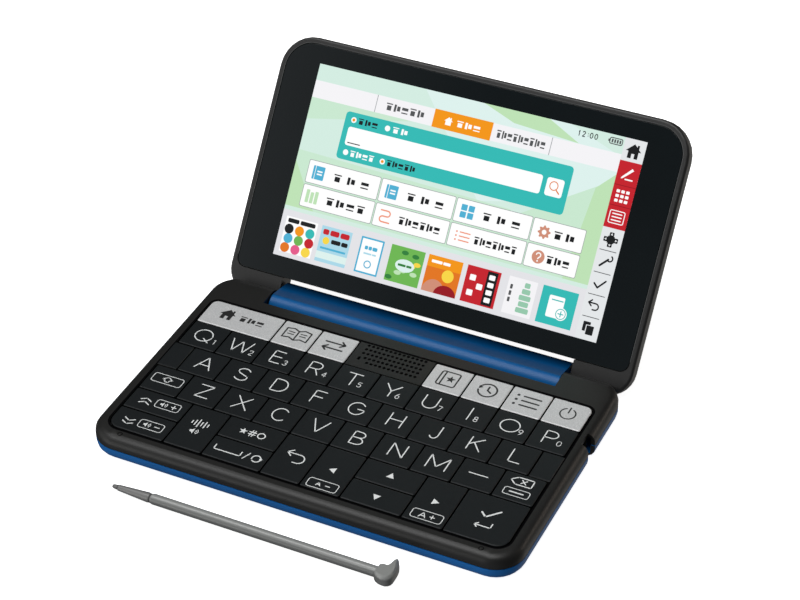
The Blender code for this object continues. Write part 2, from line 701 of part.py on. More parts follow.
def build_hinge_bar():
    """Link between base and lid: a bar with two rolled edges and a pin at each end of both."""
    outline = []
    for step in range(ROLL_STEPS + 1):
        angle = math.pi / 2 + math.pi * step / ROLL_STEPS
        outline.append((LINK_ROLL_RADIUS * math.cos(angle), LINK_ROLL_RADIUS * math.sin(angle)))
    for step in range(ROLL_STEPS + 1):
        angle = -math.pi / 2 + math.pi * step / ROLL_STEPS
        y = LINK_LENGTH + LINK_REAR_RADIUS * math.cos(angle)
        outline.append((y, LINK_REAR_RADIUS * math.sin(angle)))
    bar = add_object(
        "hinge_bar", extrude_x(outline, -LINK_HALF, LINK_HALF), (0.012, 0.09, 0.28), 0.28, 0.3, smooth=True
    )
    bar.location = HINGE_POINT
    bar.rotation_euler = (LINK_REST_ANGLE, 0, 0)
    for name, y in (("base_pin", 0), ("lid_pin", LINK_LENGTH)):
        pin = add_object(name, rod_x(-PIN_END, PIN_END, LINK_PIN_RADIUS, PIN_STEPS, y, 0))
        pin.parent = bar
        fuse(bar, pin)
    return bar


def lid_outline(inset):
    """Plan of the lid in its own plane, drawn in by an inset; its hinge axis is at zero."""
    low = LID_LOWER_RADIUS - inset
    high = LID_CORNER_RADIUS - inset
    half = BASE_HALF - inset
    return rounded_outline(
        -half, half, -LID_HALF + inset, LID_REACH - inset, (low, low, high, high), [CORNER_STEPS] * 4
    )


def glass_outline(gap):
    """Plan of the glass, or of its seat when the gap is not zero."""
    half = BASE_HALF - GLASS_SIDE_BORDER + gap
    y0 = LID_NOTCH_EDGE + GLASS_NOTCH_STEP - gap
    y1 = LID_REACH - GLASS_TOP_BORDER + gap
    low = GLASS_LOWER_RADIUS + gap
    high = LID_CORNER_RADIUS - GLASS_SIDE_BORDER + gap
    return rounded_outline(-half, half, y0, y1, (low, low, high, high), [CORNER_STEPS] * 4)


def panel_outline(gap):
    """Plan of the display module, or of its pocket when the gap is not zero."""
    half = BASE_HALF - PANEL_BORDER + gap
    y0 = LID_NOTCH_EDGE + PANEL_LOWER_LEDGE - gap
    y1 = LID_REACH - GLASS_TOP_BORDER - PANEL_LEDGE + gap
    return rounded_outline(-half, half, y0, y1, [GLASS_LOWER_RADIUS + gap] * 4, [CORNER_STEPS] * 4)


def build_lid_pivot():
    """Empty on the lid's hinge axis that carries the lid's pieces."""
    pivot = bpy.data.objects.new("lid_pivot", None)
    pivot.location = LID_POINT
    pivot.rotation_euler = (LID_REST_ANGLE, 0, 0)
    bpy.context.scene.collection.objects.link(pivot)
    return pivot


def build_lid(pivot):
    """Lid shell with seats for the glass and the display module."""
    seat_z = LID_HALF - GLASS_SINK - GLASS_THICKNESS - REST_GAP
    pocket_z = -LID_HALF + LID_BACK_WALL
    back_z = -LID_HALF + LID_BACK_EDGE_RADIUS
    front_z = LID_HALF - LID_FRONT_EDGE_RADIUS
    rings = edge_rings(lid_outline, LID_BACK_EDGE_RADIUS, back_z, -math.pi / 2, 0)
    rings += edge_rings(lid_outline, LID_FRONT_EDGE_RADIUS, front_z, 0, math.pi / 2)
    rings.append(ring(glass_outline(REST_GAP), LID_HALF))
    rings.append(ring(glass_outline(REST_GAP), seat_z))
    rings.append(ring(panel_outline(REST_GAP), seat_z))
    rings.append(ring(panel_outline(REST_GAP), pocket_z))
    housing = add_object("lid_housing", loft(rings), (0.03, 0.03, 0.03), 0.4, smooth=True)
    housing.parent = pivot
    roll = add_object("lid_roll_cutter", roll_cutter("lid_roll_cutter", LID_HALF, -1))
    reach = LID_HALF + OVERRUN
    bm = box(-LID_NOTCH_HALF, LID_NOTCH_HALF, -reach, LID_NOTCH_EDGE, -reach, reach)
    notch_tool = add_object("lid_notch_cutter", bm)
    bore_end = PIN_END + REST_GAP
    bore = add_object("lid_bore_cutter", rod_x(-bore_end, bore_end, BORE_RADIUS, PIN_STEPS))
    for tool in (roll, notch_tool, bore):
        tool.parent = pivot
        cut(housing, tool)
    glass_top = LID_HALF - GLASS_SINK
    outline = glass_outline(0)
    bm = loft([ring(outline, glass_top - GLASS_THICKNESS), ring(outline, glass_top)])
    glass = add_object("lid_glass", bm, (0.008, 0.01, 0.011), 0.08)
    glass.parent = pivot
    panel_top = glass_top - GLASS_THICKNESS - REST_GAP
    outline = panel_outline(0)
    bm = loft([ring(outline, pocket_z + REST_GAP), ring(outline, panel_top)])
    panel = add_object("display_panel", bm, (0.55, 0.72, 0.62), 0.4)
    panel.parent = pivot


def stylus_head_outline(start, share):
    """Plan of the head with its hook, shrunk towards its middle to a share of its size."""
    points = []
    for along, across in HEAD_FRONT_SHARES:
        points.append((along, across * STYLUS_HEAD_REACH))
    for along, across in HEAD_HOOK_SHARES:
        points.append((along, across * STYLUS_HOOK_REACH))
    middle = start + STYLUS_HEAD_LENGTH / 2
    outline = []
    for along, y in points:
        x = start + along * STYLUS_HEAD_LENGTH
        outline.append((middle + (x - middle) * share, y * share))
    return outline


def build_stylus():
    """Tapered stylus with a grooved collar, a hooked head and a separate nib."""
    origin = Vector((STYLUS_CENTRE_X, BASE_FRONT_Y - STYLUS_DISTANCE, STYLUS_RADIUS - FOOT_HEIGHT))
    tail = STYLUS_LENGTH / 2
    nose = -STYLUS_LENGTH / 2
    collar = nose + STYLUS_CONE_LENGTH
    groove = STYLUS_RADIUS - STYLUS_GROOVE_DEPTH
    shank_bore = STYLUS_TIP_SHANK_RADIUS + REST_GAP
    profile = (
        (tail, STYLUS_RADIUS),
        (collar + 2 * STYLUS_GROOVE, STYLUS_RADIUS),
        (collar + STYLUS_GROOVE, groove),
        (collar, groove),
        (collar - STYLUS_GROOVE, STYLUS_RADIUS - STYLUS_GROOVE_DEPTH / 2),
        (nose, STYLUS_CONE_RADIUS),
        (nose, shank_bore),
        (nose + STYLUS_TIP_SHANK_LENGTH + REST_GAP, shank_bore),
    )
    rings = [circle_x(x, radius, STYLUS_STEPS) for x, radius in profile]
    barrel = add_object("stylus_barrel", loft(rings), (0.2, 0.2, 0.2), 0.4, smooth=True)
    barrel.location = origin
    start = tail - STYLUS_RADIUS / 2
    foot = STYLUS_RADIUS - STYLUS_GROOVE_DEPTH / 2
    rings = [ring(stylus_head_outline(start, share), rise * foot) for rise, share in HEAD_FOOT_SHARES]
    for rise, share in HEAD_CROWN_SHARES:
        rings.append(ring(stylus_head_outline(start, share), rise * STYLUS_HEAD_RISE))
    head = add_object("stylus_head", loft(rings))
    head.parent = barrel
    fuse(barrel, head)
    tip_start = nose - REST_GAP
    tip_profile = [
        (nose + STYLUS_TIP_SHANK_LENGTH, STYLUS_TIP_SHANK_RADIUS),
        (tip_start, STYLUS_TIP_SHANK_RADIUS),
        (tip_start, STYLUS_TIP_RADIUS),
    ]
    for along, share in TIP_SHARES:
        tip_profile.append((tip_start - along * STYLUS_TIP_LENGTH, share * STYLUS_TIP_RADIUS))
    rings = [circle_x(x, radius, STYLUS_STEPS) for x, radius in tip_profile]
    tip = add_object("stylus_tip", loft(rings), (0.16, 0.16, 0.16), 0.45, smooth=True)
    tip.location = origin


def main():
    for obj in list(bpy.data.objects):
        bpy.data.objects.remove(obj, do_unlink=True)
    tools = build_base_tools()
    build_bottom_cover(tools)
    build_key_frame(tools)
    build_keypad_sheet(build_keys())
    build_main_board()
    build_speaker_grille()
    build_speaker()
    build_stylus_holder()
    build_hinge_bar()
    build_lid(build_lid_pivot())
    build_stylus()


main()
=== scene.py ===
"""Looks of the folding electronic dictionary: finishes, key legends, the lit screen and small fittings.

Lengths are in millimetres, and MM turns them into the frame's metres where a mesh is made.
"""
import json
import math

import bmesh
import bpy
from mathutils import Matrix, Vector

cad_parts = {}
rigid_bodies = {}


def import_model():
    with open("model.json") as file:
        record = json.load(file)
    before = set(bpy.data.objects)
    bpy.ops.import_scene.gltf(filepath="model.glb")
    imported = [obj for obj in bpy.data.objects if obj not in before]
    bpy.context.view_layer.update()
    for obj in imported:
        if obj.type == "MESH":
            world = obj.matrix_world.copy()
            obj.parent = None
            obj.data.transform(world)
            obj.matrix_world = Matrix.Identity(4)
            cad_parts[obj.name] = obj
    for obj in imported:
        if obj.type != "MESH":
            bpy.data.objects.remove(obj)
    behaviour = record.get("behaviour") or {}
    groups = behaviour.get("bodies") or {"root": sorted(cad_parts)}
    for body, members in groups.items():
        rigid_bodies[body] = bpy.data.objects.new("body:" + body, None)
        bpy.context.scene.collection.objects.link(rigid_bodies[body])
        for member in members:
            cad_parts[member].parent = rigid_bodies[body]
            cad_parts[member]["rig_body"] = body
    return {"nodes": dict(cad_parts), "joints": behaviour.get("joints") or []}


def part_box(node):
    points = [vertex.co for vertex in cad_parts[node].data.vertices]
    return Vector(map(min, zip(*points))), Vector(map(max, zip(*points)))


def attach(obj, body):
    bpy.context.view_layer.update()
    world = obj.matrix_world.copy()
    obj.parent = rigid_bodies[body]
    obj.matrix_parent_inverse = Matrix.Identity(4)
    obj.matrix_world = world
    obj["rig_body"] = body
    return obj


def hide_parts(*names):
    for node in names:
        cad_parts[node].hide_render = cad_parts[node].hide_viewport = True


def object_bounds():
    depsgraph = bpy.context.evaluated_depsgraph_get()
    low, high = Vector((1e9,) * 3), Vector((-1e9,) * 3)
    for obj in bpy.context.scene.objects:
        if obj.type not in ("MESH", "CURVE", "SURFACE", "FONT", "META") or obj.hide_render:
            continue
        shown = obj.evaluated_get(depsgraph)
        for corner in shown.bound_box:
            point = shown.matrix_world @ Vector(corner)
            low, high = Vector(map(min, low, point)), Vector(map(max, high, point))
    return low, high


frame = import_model()
cad_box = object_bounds()
MM = 0.001

# Camera, from the fit of the photograph's edges
CAMERA_PLACE = (0.2761703, -0.5082872, 0.5035484)
CAMERA_TURN = (0.9089333, 0.0252173, 0.4520631)
CAMERA_LENS = 104.73
CAMERA_SENSOR = 36

# Studio, in metres: a floor, a lamp overhead, and cards of light in the room, each by its direction,
# its colour and the angles where its soft edge starts and ends
FLOOR_HALF = 3.0
FLOOR_GAP = 0.00002
FLOOR_GLOW = 0.9
LAMP_PLACE = (-0.25, -0.25, 1.25)
LAMP_SIZES = (1.2, 0.8)
LAMP_POWER = 13.5
ROOM_LIGHT = 0.12
CARDS = (
    ((-0.80, -0.45, 0.35), (0.9, 0.9, 0.9), 12, 34),
    ((-0.55, -0.85, 0.12), (1.4, 1.38, 1.34), 8, 22),
    ((0.62, 0.70, 0.36), (3.0, 2.6, 2.25), 4, 13),
    ((-0.10, -0.85, -0.35), (0.24, 0.25, 0.27), 15, 60),
    ((0.50, 0.75, -0.40), (0.42, 0.40, 0.37), 12, 42),
    ((-0.58, -0.82, -0.12), (2.4, 2.35, 2.25), 4, 13),
    ((-0.36, 0.82, -0.40), (-0.11, -0.11, -0.11), 10, 35),
)

# Surfaces: scales of their noises, uneven share of their gloss, depth of their grain in metres
DRIFT_SCALE = 45
FLECK_SCALE = 5200.0
PIXEL_SCALE = 7900.0
GLOSS_SPREAD = 0.12
GRAIN_DEPTH = 0.0002
COAT_ROUGHNESS = 0.06
GLOW_SHARES = (0.955, 0.985)
UNLIT_SHARE = 0.04

# Painted shade: share of the colour that shows at each y of the link, full on its front roll and darkest at
# its rear, and at each height of the stylus, darker below
LINK_PAINTED_SHADE = ((41.6, 1.0), (42.6, 0.45), (45.5, 0.5), (47.4, 0.62), (49.6, 0.36), (51.2, 0.2))
STYLUS_PAINTED_SHADE = ((0.9, 0.52), (2.5, 0.48), (3.2, 1.0))

# Rounds on edges, and what counts as flat
SMOOTH_ANGLE = math.radians(34)
FLAT_ANGLE = math.radians(0.6)
SAME_PLACE = 1e-7

# Printing
LAYER = 0.005
STROKE = 0.4
CAP_HEIGHT = 6.4
CAP_RISE = 0.35
TOP_CAP_RISE = 0.2
DIGIT_HEIGHT = 2.6
DIGIT_SPREAD = 1.4
DIGIT_STROKE = 0.25
DIGIT_DROP = 1.55
ICON_STROKE = 0.42
THIN_STROKE = 0.36
SILVER_STROKE = 0.55
FRAME_STROKE = 0.26
FRAME_CORNER = 0.9

# Keys
KEY_EDGE = 0.42
# Painted shade: share of a key's edge round, down from its top, below which the cap is black to darken the
# gaps between keys
SHADED_EDGE_SHARE = 0.6
KEY_CORNER = 0.55
KEY_FRONT_CORNER = 4.2
KEY_REAR_CORNER = 2.4
KEY_CAP_HEIGHT = 1.4
KEY_STEM_HALF = 1.3
KEY_STEM_CORNER = 0.5
EDGE_STEPS = 4

# Screen on the lid: x from its middle, y up from the lid's hinge axis
GLASS_TOP = 3.7
SCREEN_HALF = 61.0
SCREEN_LOW = 12.15
SCREEN_HIGH = 80.7
STRIP_LEFT = 53.3
TAB_LOW = 68.8
TAB_HIGH = 74.9
RULE_HALF = 0.12
SHELF_HIGH = 28.6
COVER_LOW = 13.8
COVER_HEIGHT = 12.6

# Places on the base: the stylus recess, and the blank fillers beside the second letter row
RECESS_X = 73.35
RECESS_OUTSIDE = 75.9
RECESS_Y = 15.9
RECESS_HALF = 2.9
RECESS_LOW = 0.6
FOOT_TOP = -0.02
FRAME_TOP = 9.6
FILLER_X = 64.0
FILLER_Y = -1.35
FILLER_HALF = 6.4
FILLER_RISE = 0.02
FILLER_GROOVE_X = 71.25
FILLER_GROOVE = 0.42

# Screw recesses under the base
SCREW_X = 47.12
SCREW_YS = (-38.85, 23.09)
SCREW_LEVEL = 0.6
SCREW_RADIUS = 1.6
SCREW_SLOT = 0.8
SCREW_SLOT_WIDTH = 0.34

# Apron in the slot between the frame's rear wall and the link's front roll: a wall in black, as painted
# shade for the slot
APRON_HALF = 54.5
APRON_OUTLINE = ((36.0, 0.8), (37.8, 0.8), (37.8, 6.4), (37.2, 7.2), (36.0, 7.2))

# Groove between the stylus's cone and its barrel
STYLUS_RING_X = -44.4
STYLUS_RING_HALF = 0.45

# Key window in the frame, and the two pips in front of the keys
WINDOW_HALF = 71.175
WINDOW_FRONT = -41.525
WINDOW_REAR = 31.125
WINDOW_FRONT_CORNER = 4.65
WINDOW_REAR_CORNER = 2.85
WINDOW_SHADOW = 0.6
PIP_X = 64.0
PIP_Y = -43.5
PIP_RING = 0.75
PIP_STROKE = 0.24

# Grille: its sides, front and rear, the margins round its holes, and its slot beside a row's first hole
GRILLE = (-13.965, 13.965, 18.225, 30.825)
HOLE_SIDE_MARGIN = 3.4
HOLE_FRONT_MARGIN = 3.2
HOLE_REAR_MARGIN = 0.8
HOLE_COLUMNS = 14
HOLE_ROWS = 5
HOLE_RADIUS = 0.38
# Width of the painted shade rim round each hole
HOLE_RING = 0.2
HOLE_SLOT = (-0.68, -1.58, 0.08)

# Painted highlight: thin bright line beside the glass, where its chamfer catches the light, in the lid's
# plane
LID_TOP = 3.8
GLASS_RIM_HALF = 74.0
GLASS_RIM_LOW = 9.0
GLASS_RIM_HIGH = 87.4
GLASS_RIM_CORNER = 10.0
GLASS_RIM_WIDTH = 0.16


def srgb(*channels):
    """Linear colour of screen values from 0 to 255."""
    parts = [value / 255 for value in channels]
    return tuple(part / 12.92 if part <= 0.04045 else ((part + 0.055) / 1.055) ** 2.4 for part in parts)


def scaled(color, factor):
    return tuple(min(1, channel * factor) for channel in color)


def add_node(tree, kind, **values):
    """A node with its inputs and settings by name."""
    node = tree.nodes.new(kind)
    for name, value in values.items():
        label = name.replace("_", " ")
        if label in node.inputs:
            node.inputs[label].default_value = value
        else:
            setattr(node, name, value)
    return node


def noise(tree, place, scale):
    node = add_node(tree, "ShaderNodeTexNoise", Scale=scale, Detail=3.0)
    tree.links.new(place, node.inputs["Vector"])
    return node.outputs["Fac"]


def ranged(tree, value, low, high, start=0.3, end=0.7):
    node = tree.nodes.new("ShaderNodeMapRange")
    tree.links.new(value, node.inputs["Value"])
    for name, number in (("From Min", start), ("From Max", end), ("To Min", low), ("To Max", high)):
        node.inputs[name].default_value = number
    return node.outputs["Result"]


def blended(tree, factor, first, second):
    node = add_node(tree, "ShaderNodeMix", data_type="RGBA")
    tree.links.new(factor, node.inputs["Factor"])
    node.inputs[6].default_value = (*first, 1)
    node.inputs[7].default_value = (*second, 1)
    return node.outputs[2]


def parts_of(material):
    """A material's node tree, its shader and a new socket with the place on the object."""
    tree = material.node_tree
    return tree, tree.nodes["Principled BSDF"], tree.nodes.new("ShaderNodeTexCoord").outputs["Object"]


def finish(name, color, roughness, grain=2600, bump=0.03, spread=0.12, metallic=0.0, specular=0.5,
           coat=0.0):
    """Moulded, painted or polished surface: fine grain, uneven gloss and a slow drift of its colour."""
    material = bpy.data.materials.new(name)
    material.use_nodes = True
    tree, shader, place = parts_of(material)
    for label, value in (("Metallic", metallic), ("Specular IOR Level", specular), ("Coat Weight", coat),
                         ("Coat Roughness", COAT_ROUGHNESS)):
        shader.inputs[label].default_value = value
    drift = noise(tree, place, DRIFT_SCALE)
    color_out = blended(tree, drift, scaled(color, 1 - spread), scaled(color, 1 + spread))
    tree.links.new(color_out, shader.inputs["Base Color"])
    fine = noise(tree, place, grain)
    gloss = ranged(tree, fine, roughness * (1 - GLOSS_SPREAD), roughness * (1 + GLOSS_SPREAD))
    tree.links.new(gloss, shader.inputs["Roughness"])
    relief = add_node(tree, "ShaderNodeBump", Strength=bump, Distance=GRAIN_DEPTH)
    tree.links.new(fine, relief.inputs["Height"])
    tree.links.new(relief.outputs["Normal"], shader.inputs["Normal"])
    return material


def shade_painted(material, axis, shade_shares):
    """The same finish with painted shade: a share of its colour for each place along an axis."""
    tree, shader, place = parts_of(material)
    apart = add_node(tree, "ShaderNodeSeparateXYZ")
    tree.links.new(place, apart.inputs[0])
    start, end = shade_shares[0][0], shade_shares[-1][0]
    ramp = tree.nodes.new("ShaderNodeValToRGB")
    tree.links.new(ranged(tree, apart.outputs[axis], 0, 1, start * MM, end * MM), ramp.inputs["Fac"])
    stops = ramp.color_ramp.elements
    stops[1].position = 1.0
    for level, share in shade_shares:
        ends = {start: stops[0], end: stops[-1]}
        stop = ends.get(level) or stops.new((level - start) / (end - start))
        stop.color = (share, share, share, 1)
    product = add_node(tree, "ShaderNodeMix", data_type="RGBA", blend_type="MULTIPLY")
    product.inputs["Factor"].default_value = 1.0
    tree.links.new(shader.inputs["Base Color"].links[0].from_socket, product.inputs[6])
    tree.links.new(ramp.outputs["Color"], product.inputs[7])
    tree.links.new(product.outputs[2], shader.inputs["Base Color"])
    return material


def sparkling(name, color, fleck, roughness):
    """Metallic paint: small bright flecks in a silver ground."""
    material = finish(name, color, roughness, grain=3000, bump=0.05, spread=0.05, metallic=0.25)
    tree, shader, place = parts_of(material)
    cells = add_node(tree, "ShaderNodeTexVoronoi", Scale=FLECK_SCALE)
    tree.links.new(place, cells.inputs["Vector"])
    brightness = tree.nodes.new("ShaderNodeSeparateColor")
    tree.links.new(cells.outputs["Color"], brightness.inputs["Color"])
    flecks = ranged(tree, brightness.outputs["Red"], 0, 1, 0.6, 1.0)
    tree.links.new(blended(tree, flecks, color, fleck), shader.inputs["Base Color"])
    return material


def lit(name, color):
    """Colour of the display: it glows, under the glass's gloss, through a fine pixel grid."""
    material = finish(name, scaled(color, UNLIT_SHARE), 0.12, grain=900, bump=0.002, specular=0.3)
    tree, shader, place = parts_of(material)
    grid = add_node(tree, "ShaderNodeTexChecker", Scale=PIXEL_SCALE)
    tree.links.new(place, grid.inputs["Vector"])
    glow = blended(tree, grid.outputs["Fac"], *(scaled(color, share) for share in GLOW_SHARES))
    tree.links.new(glow, shader.inputs["Emission Color"])
    shader.inputs["Emission Strength"].default_value = 1.0
    return material


COVER_BLUE = finish("cover blue", srgb(4, 105, 183), 0.4, bump=0.02, spread=0.08, specular=0.3)
# Painted shade: the link's blue is full on its front roll and darkens towards its rear, along y
LINK_BLUE = shade_painted(
    finish("link blue", srgb(0, 86, 148), 0.34, grain=1200, bump=0.003, spread=0.05, specular=0.2,
           coat=0.05),
    "Y", LINK_PAINTED_SHADE)
FRAME_BLACK = finish("frame black", srgb(19, 19, 18), 0.42, bump=0.05, spread=0.15, specular=0.4)
KEY_BLACK = finish("key black", srgb(19, 23, 25), 0.42, grain=3200, bump=0.04, spread=0.14, specular=0.23)
KEY_SILVER = sparkling("key silver", srgb(199, 200, 201), srgb(222, 222, 222), 0.42)
LID_GREY = finish("lid grey", srgb(29, 29, 29), 0.4, bump=0.05, spread=0.12, specular=0.45)
GLASS = finish("screen glass", srgb(9, 17, 20), 0.08, grain=300, bump=0.001, spread=0.2, specular=0.5)
SILICONE = finish("silicone", srgb(30, 31, 33), 0.7, grain=1500, bump=0.08)
BOARD = finish("circuit board", srgb(18, 84, 46), 0.45, grain=500, bump=0.1, spread=0.3)
# Black of the inner parts, also used as painted shade in the stylus recess and on the hinge apron
INNER_AND_SHADE_BLACK = finish("inner and painted shade black", srgb(18, 18, 19), 0.6, bump=0.08)
# Painted shade: glossless near black for the gaps between keys, the filler grooves, the window edge, the
# pips, the grille's holes and the screw slots
SHADE_BLACK = finish("painted shade black", srgb(5, 5, 6), 0.8, bump=0.05, specular=0.02)
# Painted shade: the stylus's grey darkens towards its underside, along its height
STYLUS_GREY = shade_painted(
    finish("stylus grey", srgb(136, 138, 136), 0.36, bump=0.04, spread=0.06, specular=0.9),
    "Z", STYLUS_PAINTED_SHADE)
NIB_GREY = finish("stylus nib", srgb(104, 104, 104), 0.5, bump=0.06, specular=0.4)
RUBBER = finish("foot rubber", srgb(34, 34, 35), 0.85, grain=1800, bump=0.2)
STEEL = finish("screw steel", srgb(120, 121, 124), 0.35, grain=900, bump=0.05, metallic=1.0)
INK_LIGHT = finish("light ink", srgb(226, 229, 229), 0.5, bump=0.02, spread=0.04)
# Painted shade: darker greys for the stylus's cone and for the groove behind it
CONE_SHADE_GREY = finish("stylus cone", srgb(108, 108, 107), 0.4, bump=0.04, spread=0.06, specular=0.8)
STYLUS_GROOVE_SHADE = finish("stylus ring", srgb(70, 70, 70), 0.6, bump=0.03, specular=0.2)
# Painted highlight: light grey for the line along the glass's chamfer
RIM_HIGHLIGHT = finish("painted rim highlight", srgb(74, 76, 76), 0.4, bump=0.02, specular=0.5)
INK_DARK = finish("dark ink", srgb(22, 22, 23), 0.5, bump=0.02, spread=0.1)


def shade(piece, edge=None):
    """Smooth shading that keeps flat faces flat, with an optional small round on every sharp edge."""
    for face in piece.data.polygons:
        face.use_smooth = True
    if edge:
        bevel = piece.modifiers.new("edge", "BEVEL")
        bevel.width = edge * MM
        bevel.segments = 2
        bevel.limit_method = "ANGLE"
        bevel.angle_limit = SMOOTH_ANGLE
    else:
        piece.data.set_sharp_from_angle(angle=SMOOTH_ANGLE)
    weigh = piece.modifiers.new("flat faces", "WEIGHTED_NORMAL")
    weigh.keep_sharp = True


def make_piece(name, bm, body, materials):
    """A new piece from a mesh in metres, riding on its body."""
    mesh = bpy.data.meshes.new(name)
    bm.to_mesh(mesh)
    bm.free()
    for material in materials:
        mesh.materials.append(material)
    piece = bpy.data.objects.new(name, mesh)
    bpy.context.scene.collection.objects.link(piece)
    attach(piece, body)
    return piece


def loft(bm, rings):
    """Skin between rings of points in millimetres, closed at its ends."""
    layers = [[bm.verts.new(Vector(point) * MM) for point in ring] for ring in rings]
    for lower, upper in zip(layers, layers[1:]):
        for index in range(len(lower)):
            after = (index + 1) % len(lower)
            bm.faces.new((lower[index], lower[after], upper[after], upper[index]))
    bm.faces.new(list(reversed(layers[0])))
    bm.faces.new(layers[-1])


def arc(x, y, radius, start, end, steps=12):
    """Points along a circle, or along an ellipse by a pair of radii, from start to end in degrees."""
    radius_x, radius_y = radius if isinstance(radius, tuple) else (radius, radius)
    points = []
    for index in range(steps + 1):
        angle = math.radians(start + (end - start) * index / steps)
        points.append((x + radius_x * math.cos(angle), y + radius_y * math.sin(angle)))
    return points


def rounded(x0, y0, x1, y1, radii, steps=5):
    """Rectangle with its own radius at each corner: front left, front right, rear right, rear left."""
    corners = ((x0, y0, 180, 1, 1), (x1, y0, 270, -1, 1), (x1, y1, 0, -1, -1), (x0, y1, 90, 1, -1))
    points = []
    for radius, (x, y, start, in_x, in_y) in zip(radii, corners):
        points += arc(x + in_x * radius, y + in_y * radius, radius, start, start + 90, steps)
    return points


def burst(count, start, reaches):
    """Outline whose reach changes from point to point, as on a star or a gear."""
    points = []
    for index in range(count):
        reach, angle = reaches[index % len(reaches)], math.radians(start + 360 * index / count)
        points.append((reach * math.cos(angle), reach * math.sin(angle)))
    return points


def refined(node, materials, edge, paint=None, merge=True):
    """Copy of a CAD solid with small rounds on its edges and smooth shading, in the solid's place."""
    source = frame["nodes"][node]
    bm = bmesh.new()
    bm.from_mesh(source.data)
    bmesh.ops.remove_doubles(bm, verts=bm.verts, dist=SAME_PLACE)
    if merge:
        bmesh.ops.dissolve_limit(bm, angle_limit=FLAT_ANGLE, verts=bm.verts, edges=bm.edges)
    for face in bm.faces:
        face.material_index = paint(face.calc_center_median() / MM) if paint else 0
    piece = make_piece(node + "_shell", bm, source["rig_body"], materials)
    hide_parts(node)
    shade(piece, edge)


class Drawing:
    """Printing or a lit picture on a plane: flat shapes in millimetres, each just over what it covers."""

    def __init__(self, plane):
        self.plane = plane
        self.bm = bmesh.new()
        self.laid = []
        self.materials = []

    def lay(self, material, outlines):
        """One level of outlines in one material."""
        if material not in self.materials:
            self.materials.append(material)
        xs, ys = zip(*(point for outline in outlines for point in outline))
        box = (min(xs), min(ys), max(xs), max(ys))
        covered = [
            level for other, level in self.laid
            if box[0] < other[2] and other[0] < box[2] and box[1] < other[3] and other[1] < box[3]
        ]
        level = max(covered, default=0) + 1
        self.laid.append((box, level))
        for outline in outlines:
            places = [self.plane @ Vector((x, y, level * LAYER)) for x, y in outline]
            face = self.bm.faces.new([self.bm.verts.new(place * MM) for place in places])
            face.material_index = self.materials.index(material)

    def finished(self, name, body):
        make_piece(name, self.bm, body, self.materials)


class Pen:
    """Marks of one material on a drawing, around a place and by a scale. Widths stay in millimetres."""

    def __init__(self, drawing, material, x=0.0, y=0.0, scale=1.0):
        self.drawing = drawing
        self.material = material
        self.x = x
        self.y = y
        self.scale = scale

    def at(self, x, y, scale=1.0):
        """The same pen around another place, given from this one's."""
        return Pen(self.drawing, self.material, self.x + x, self.y + y, scale)

    def placed(self, points):
        return [(self.x + u * self.scale, self.y + v * self.scale) for u, v in points]

    def shape(self, points):
        self.drawing.lay(self.material, [self.placed(points)])

    def line(self, points, width, closed=False):
        self.drawing.lay(self.material, ribbon(self.placed(points), width, closed))

    def lines(self, strokes, width):
        for points in strokes:
            self.line(points, width)

    def box(self, x0, y0, x1, y1, corner=0.0):
        (x0, y0), (x1, y1) = self.placed([(x0, y0), (x1, y1)])
        square = [(x0, y0), (x1, y0), (x1, y1), (x0, y1)]
        self.drawing.lay(self.material, [rounded(x0, y0, x1, y1, [corner] * 4, 4) if corner else square])

    def frame_box(self, x0, y0, x1, y1, corner=FRAME_CORNER, width=FRAME_STROKE):
        self.line(rounded(x0, y0, x1, y1, [corner] * 4), width, closed=True)

    def disc(self, x, y, radius, steps=20):
        self.shape(arc(x, y, radius, 0, 360, steps)[:-1])

    def ring(self, x, y, radius, width, steps=24):
        self.line(arc(x, y, radius, 0, 360, steps)[:-1], width, closed=True)

    def arrow(self, x, y, size, turn):
        """Solid triangle that points along turn, in degrees."""
        self.shape(arc(x, y, size, turn, turn + 360, 3)[:-1])

    def plus(self, x, y, size, width, both=True):
        """Plus sign, or a minus sign where it isn't both."""
        self.line([(x - size / 2, y), (x + size / 2, y)], width)
        if both:
            self.line([(x, y - size / 2), (x, y + size / 2)], width)


def ribbon(points, width, closed=False):
    """Outlines of a stroke of that width with round ends, one for each run without a sharp corner."""
    path = [Vector(point) for point in points]
    half = width / 2
    if closed:
        rails = []
        for before, here, after in zip([path[-1]] + path, path, path[1:] + [path[0]]):
            along = (after - before).normalized()
            side = Vector((-along.y, along.x)) * half
            rails.append((tuple(here + side), tuple(here - side)))
        return [[a[1], b[1], b[0], a[0]] for a, b in zip(rails, rails[1:] + rails[:1])]
    runs = [[path[0]]]
    for before, here, after in zip(path, path[1:], path[2:]):
        runs[-1].append(here)
        if (here - before).angle(after - here) > SMOOTH_ANGLE:
            runs.append([here])
    runs[-1].append(path[-1])
    return [run_outline(run, half) for run in runs]


def run_outline(run, half):
    """Outline around a gently bending run of points."""
    left, right = [], []
    for index, here in enumerate(run):
        along = (run[min(index + 1, len(run) - 1)] - run[max(index - 1, 0)]).normalized()
        side = Vector((-along.y, along.x)) * half
        left.append(tuple(here + side))
        right.append(tuple(here - side))
    start, end = run[1] - run[0], run[-1] - run[-2]
    start_turn = math.degrees(math.atan2(start.y, start.x))
    end_turn = math.degrees(math.atan2(end.y, end.x))
    end_cap = arc(*run[-1], half, end_turn - 90, end_turn + 90, 6)[1:-1]
    start_cap = arc(*run[0], half, start_turn + 90, start_turn + 270, 6)[1:-1]
    return right + end_cap + left[::-1] + start_cap


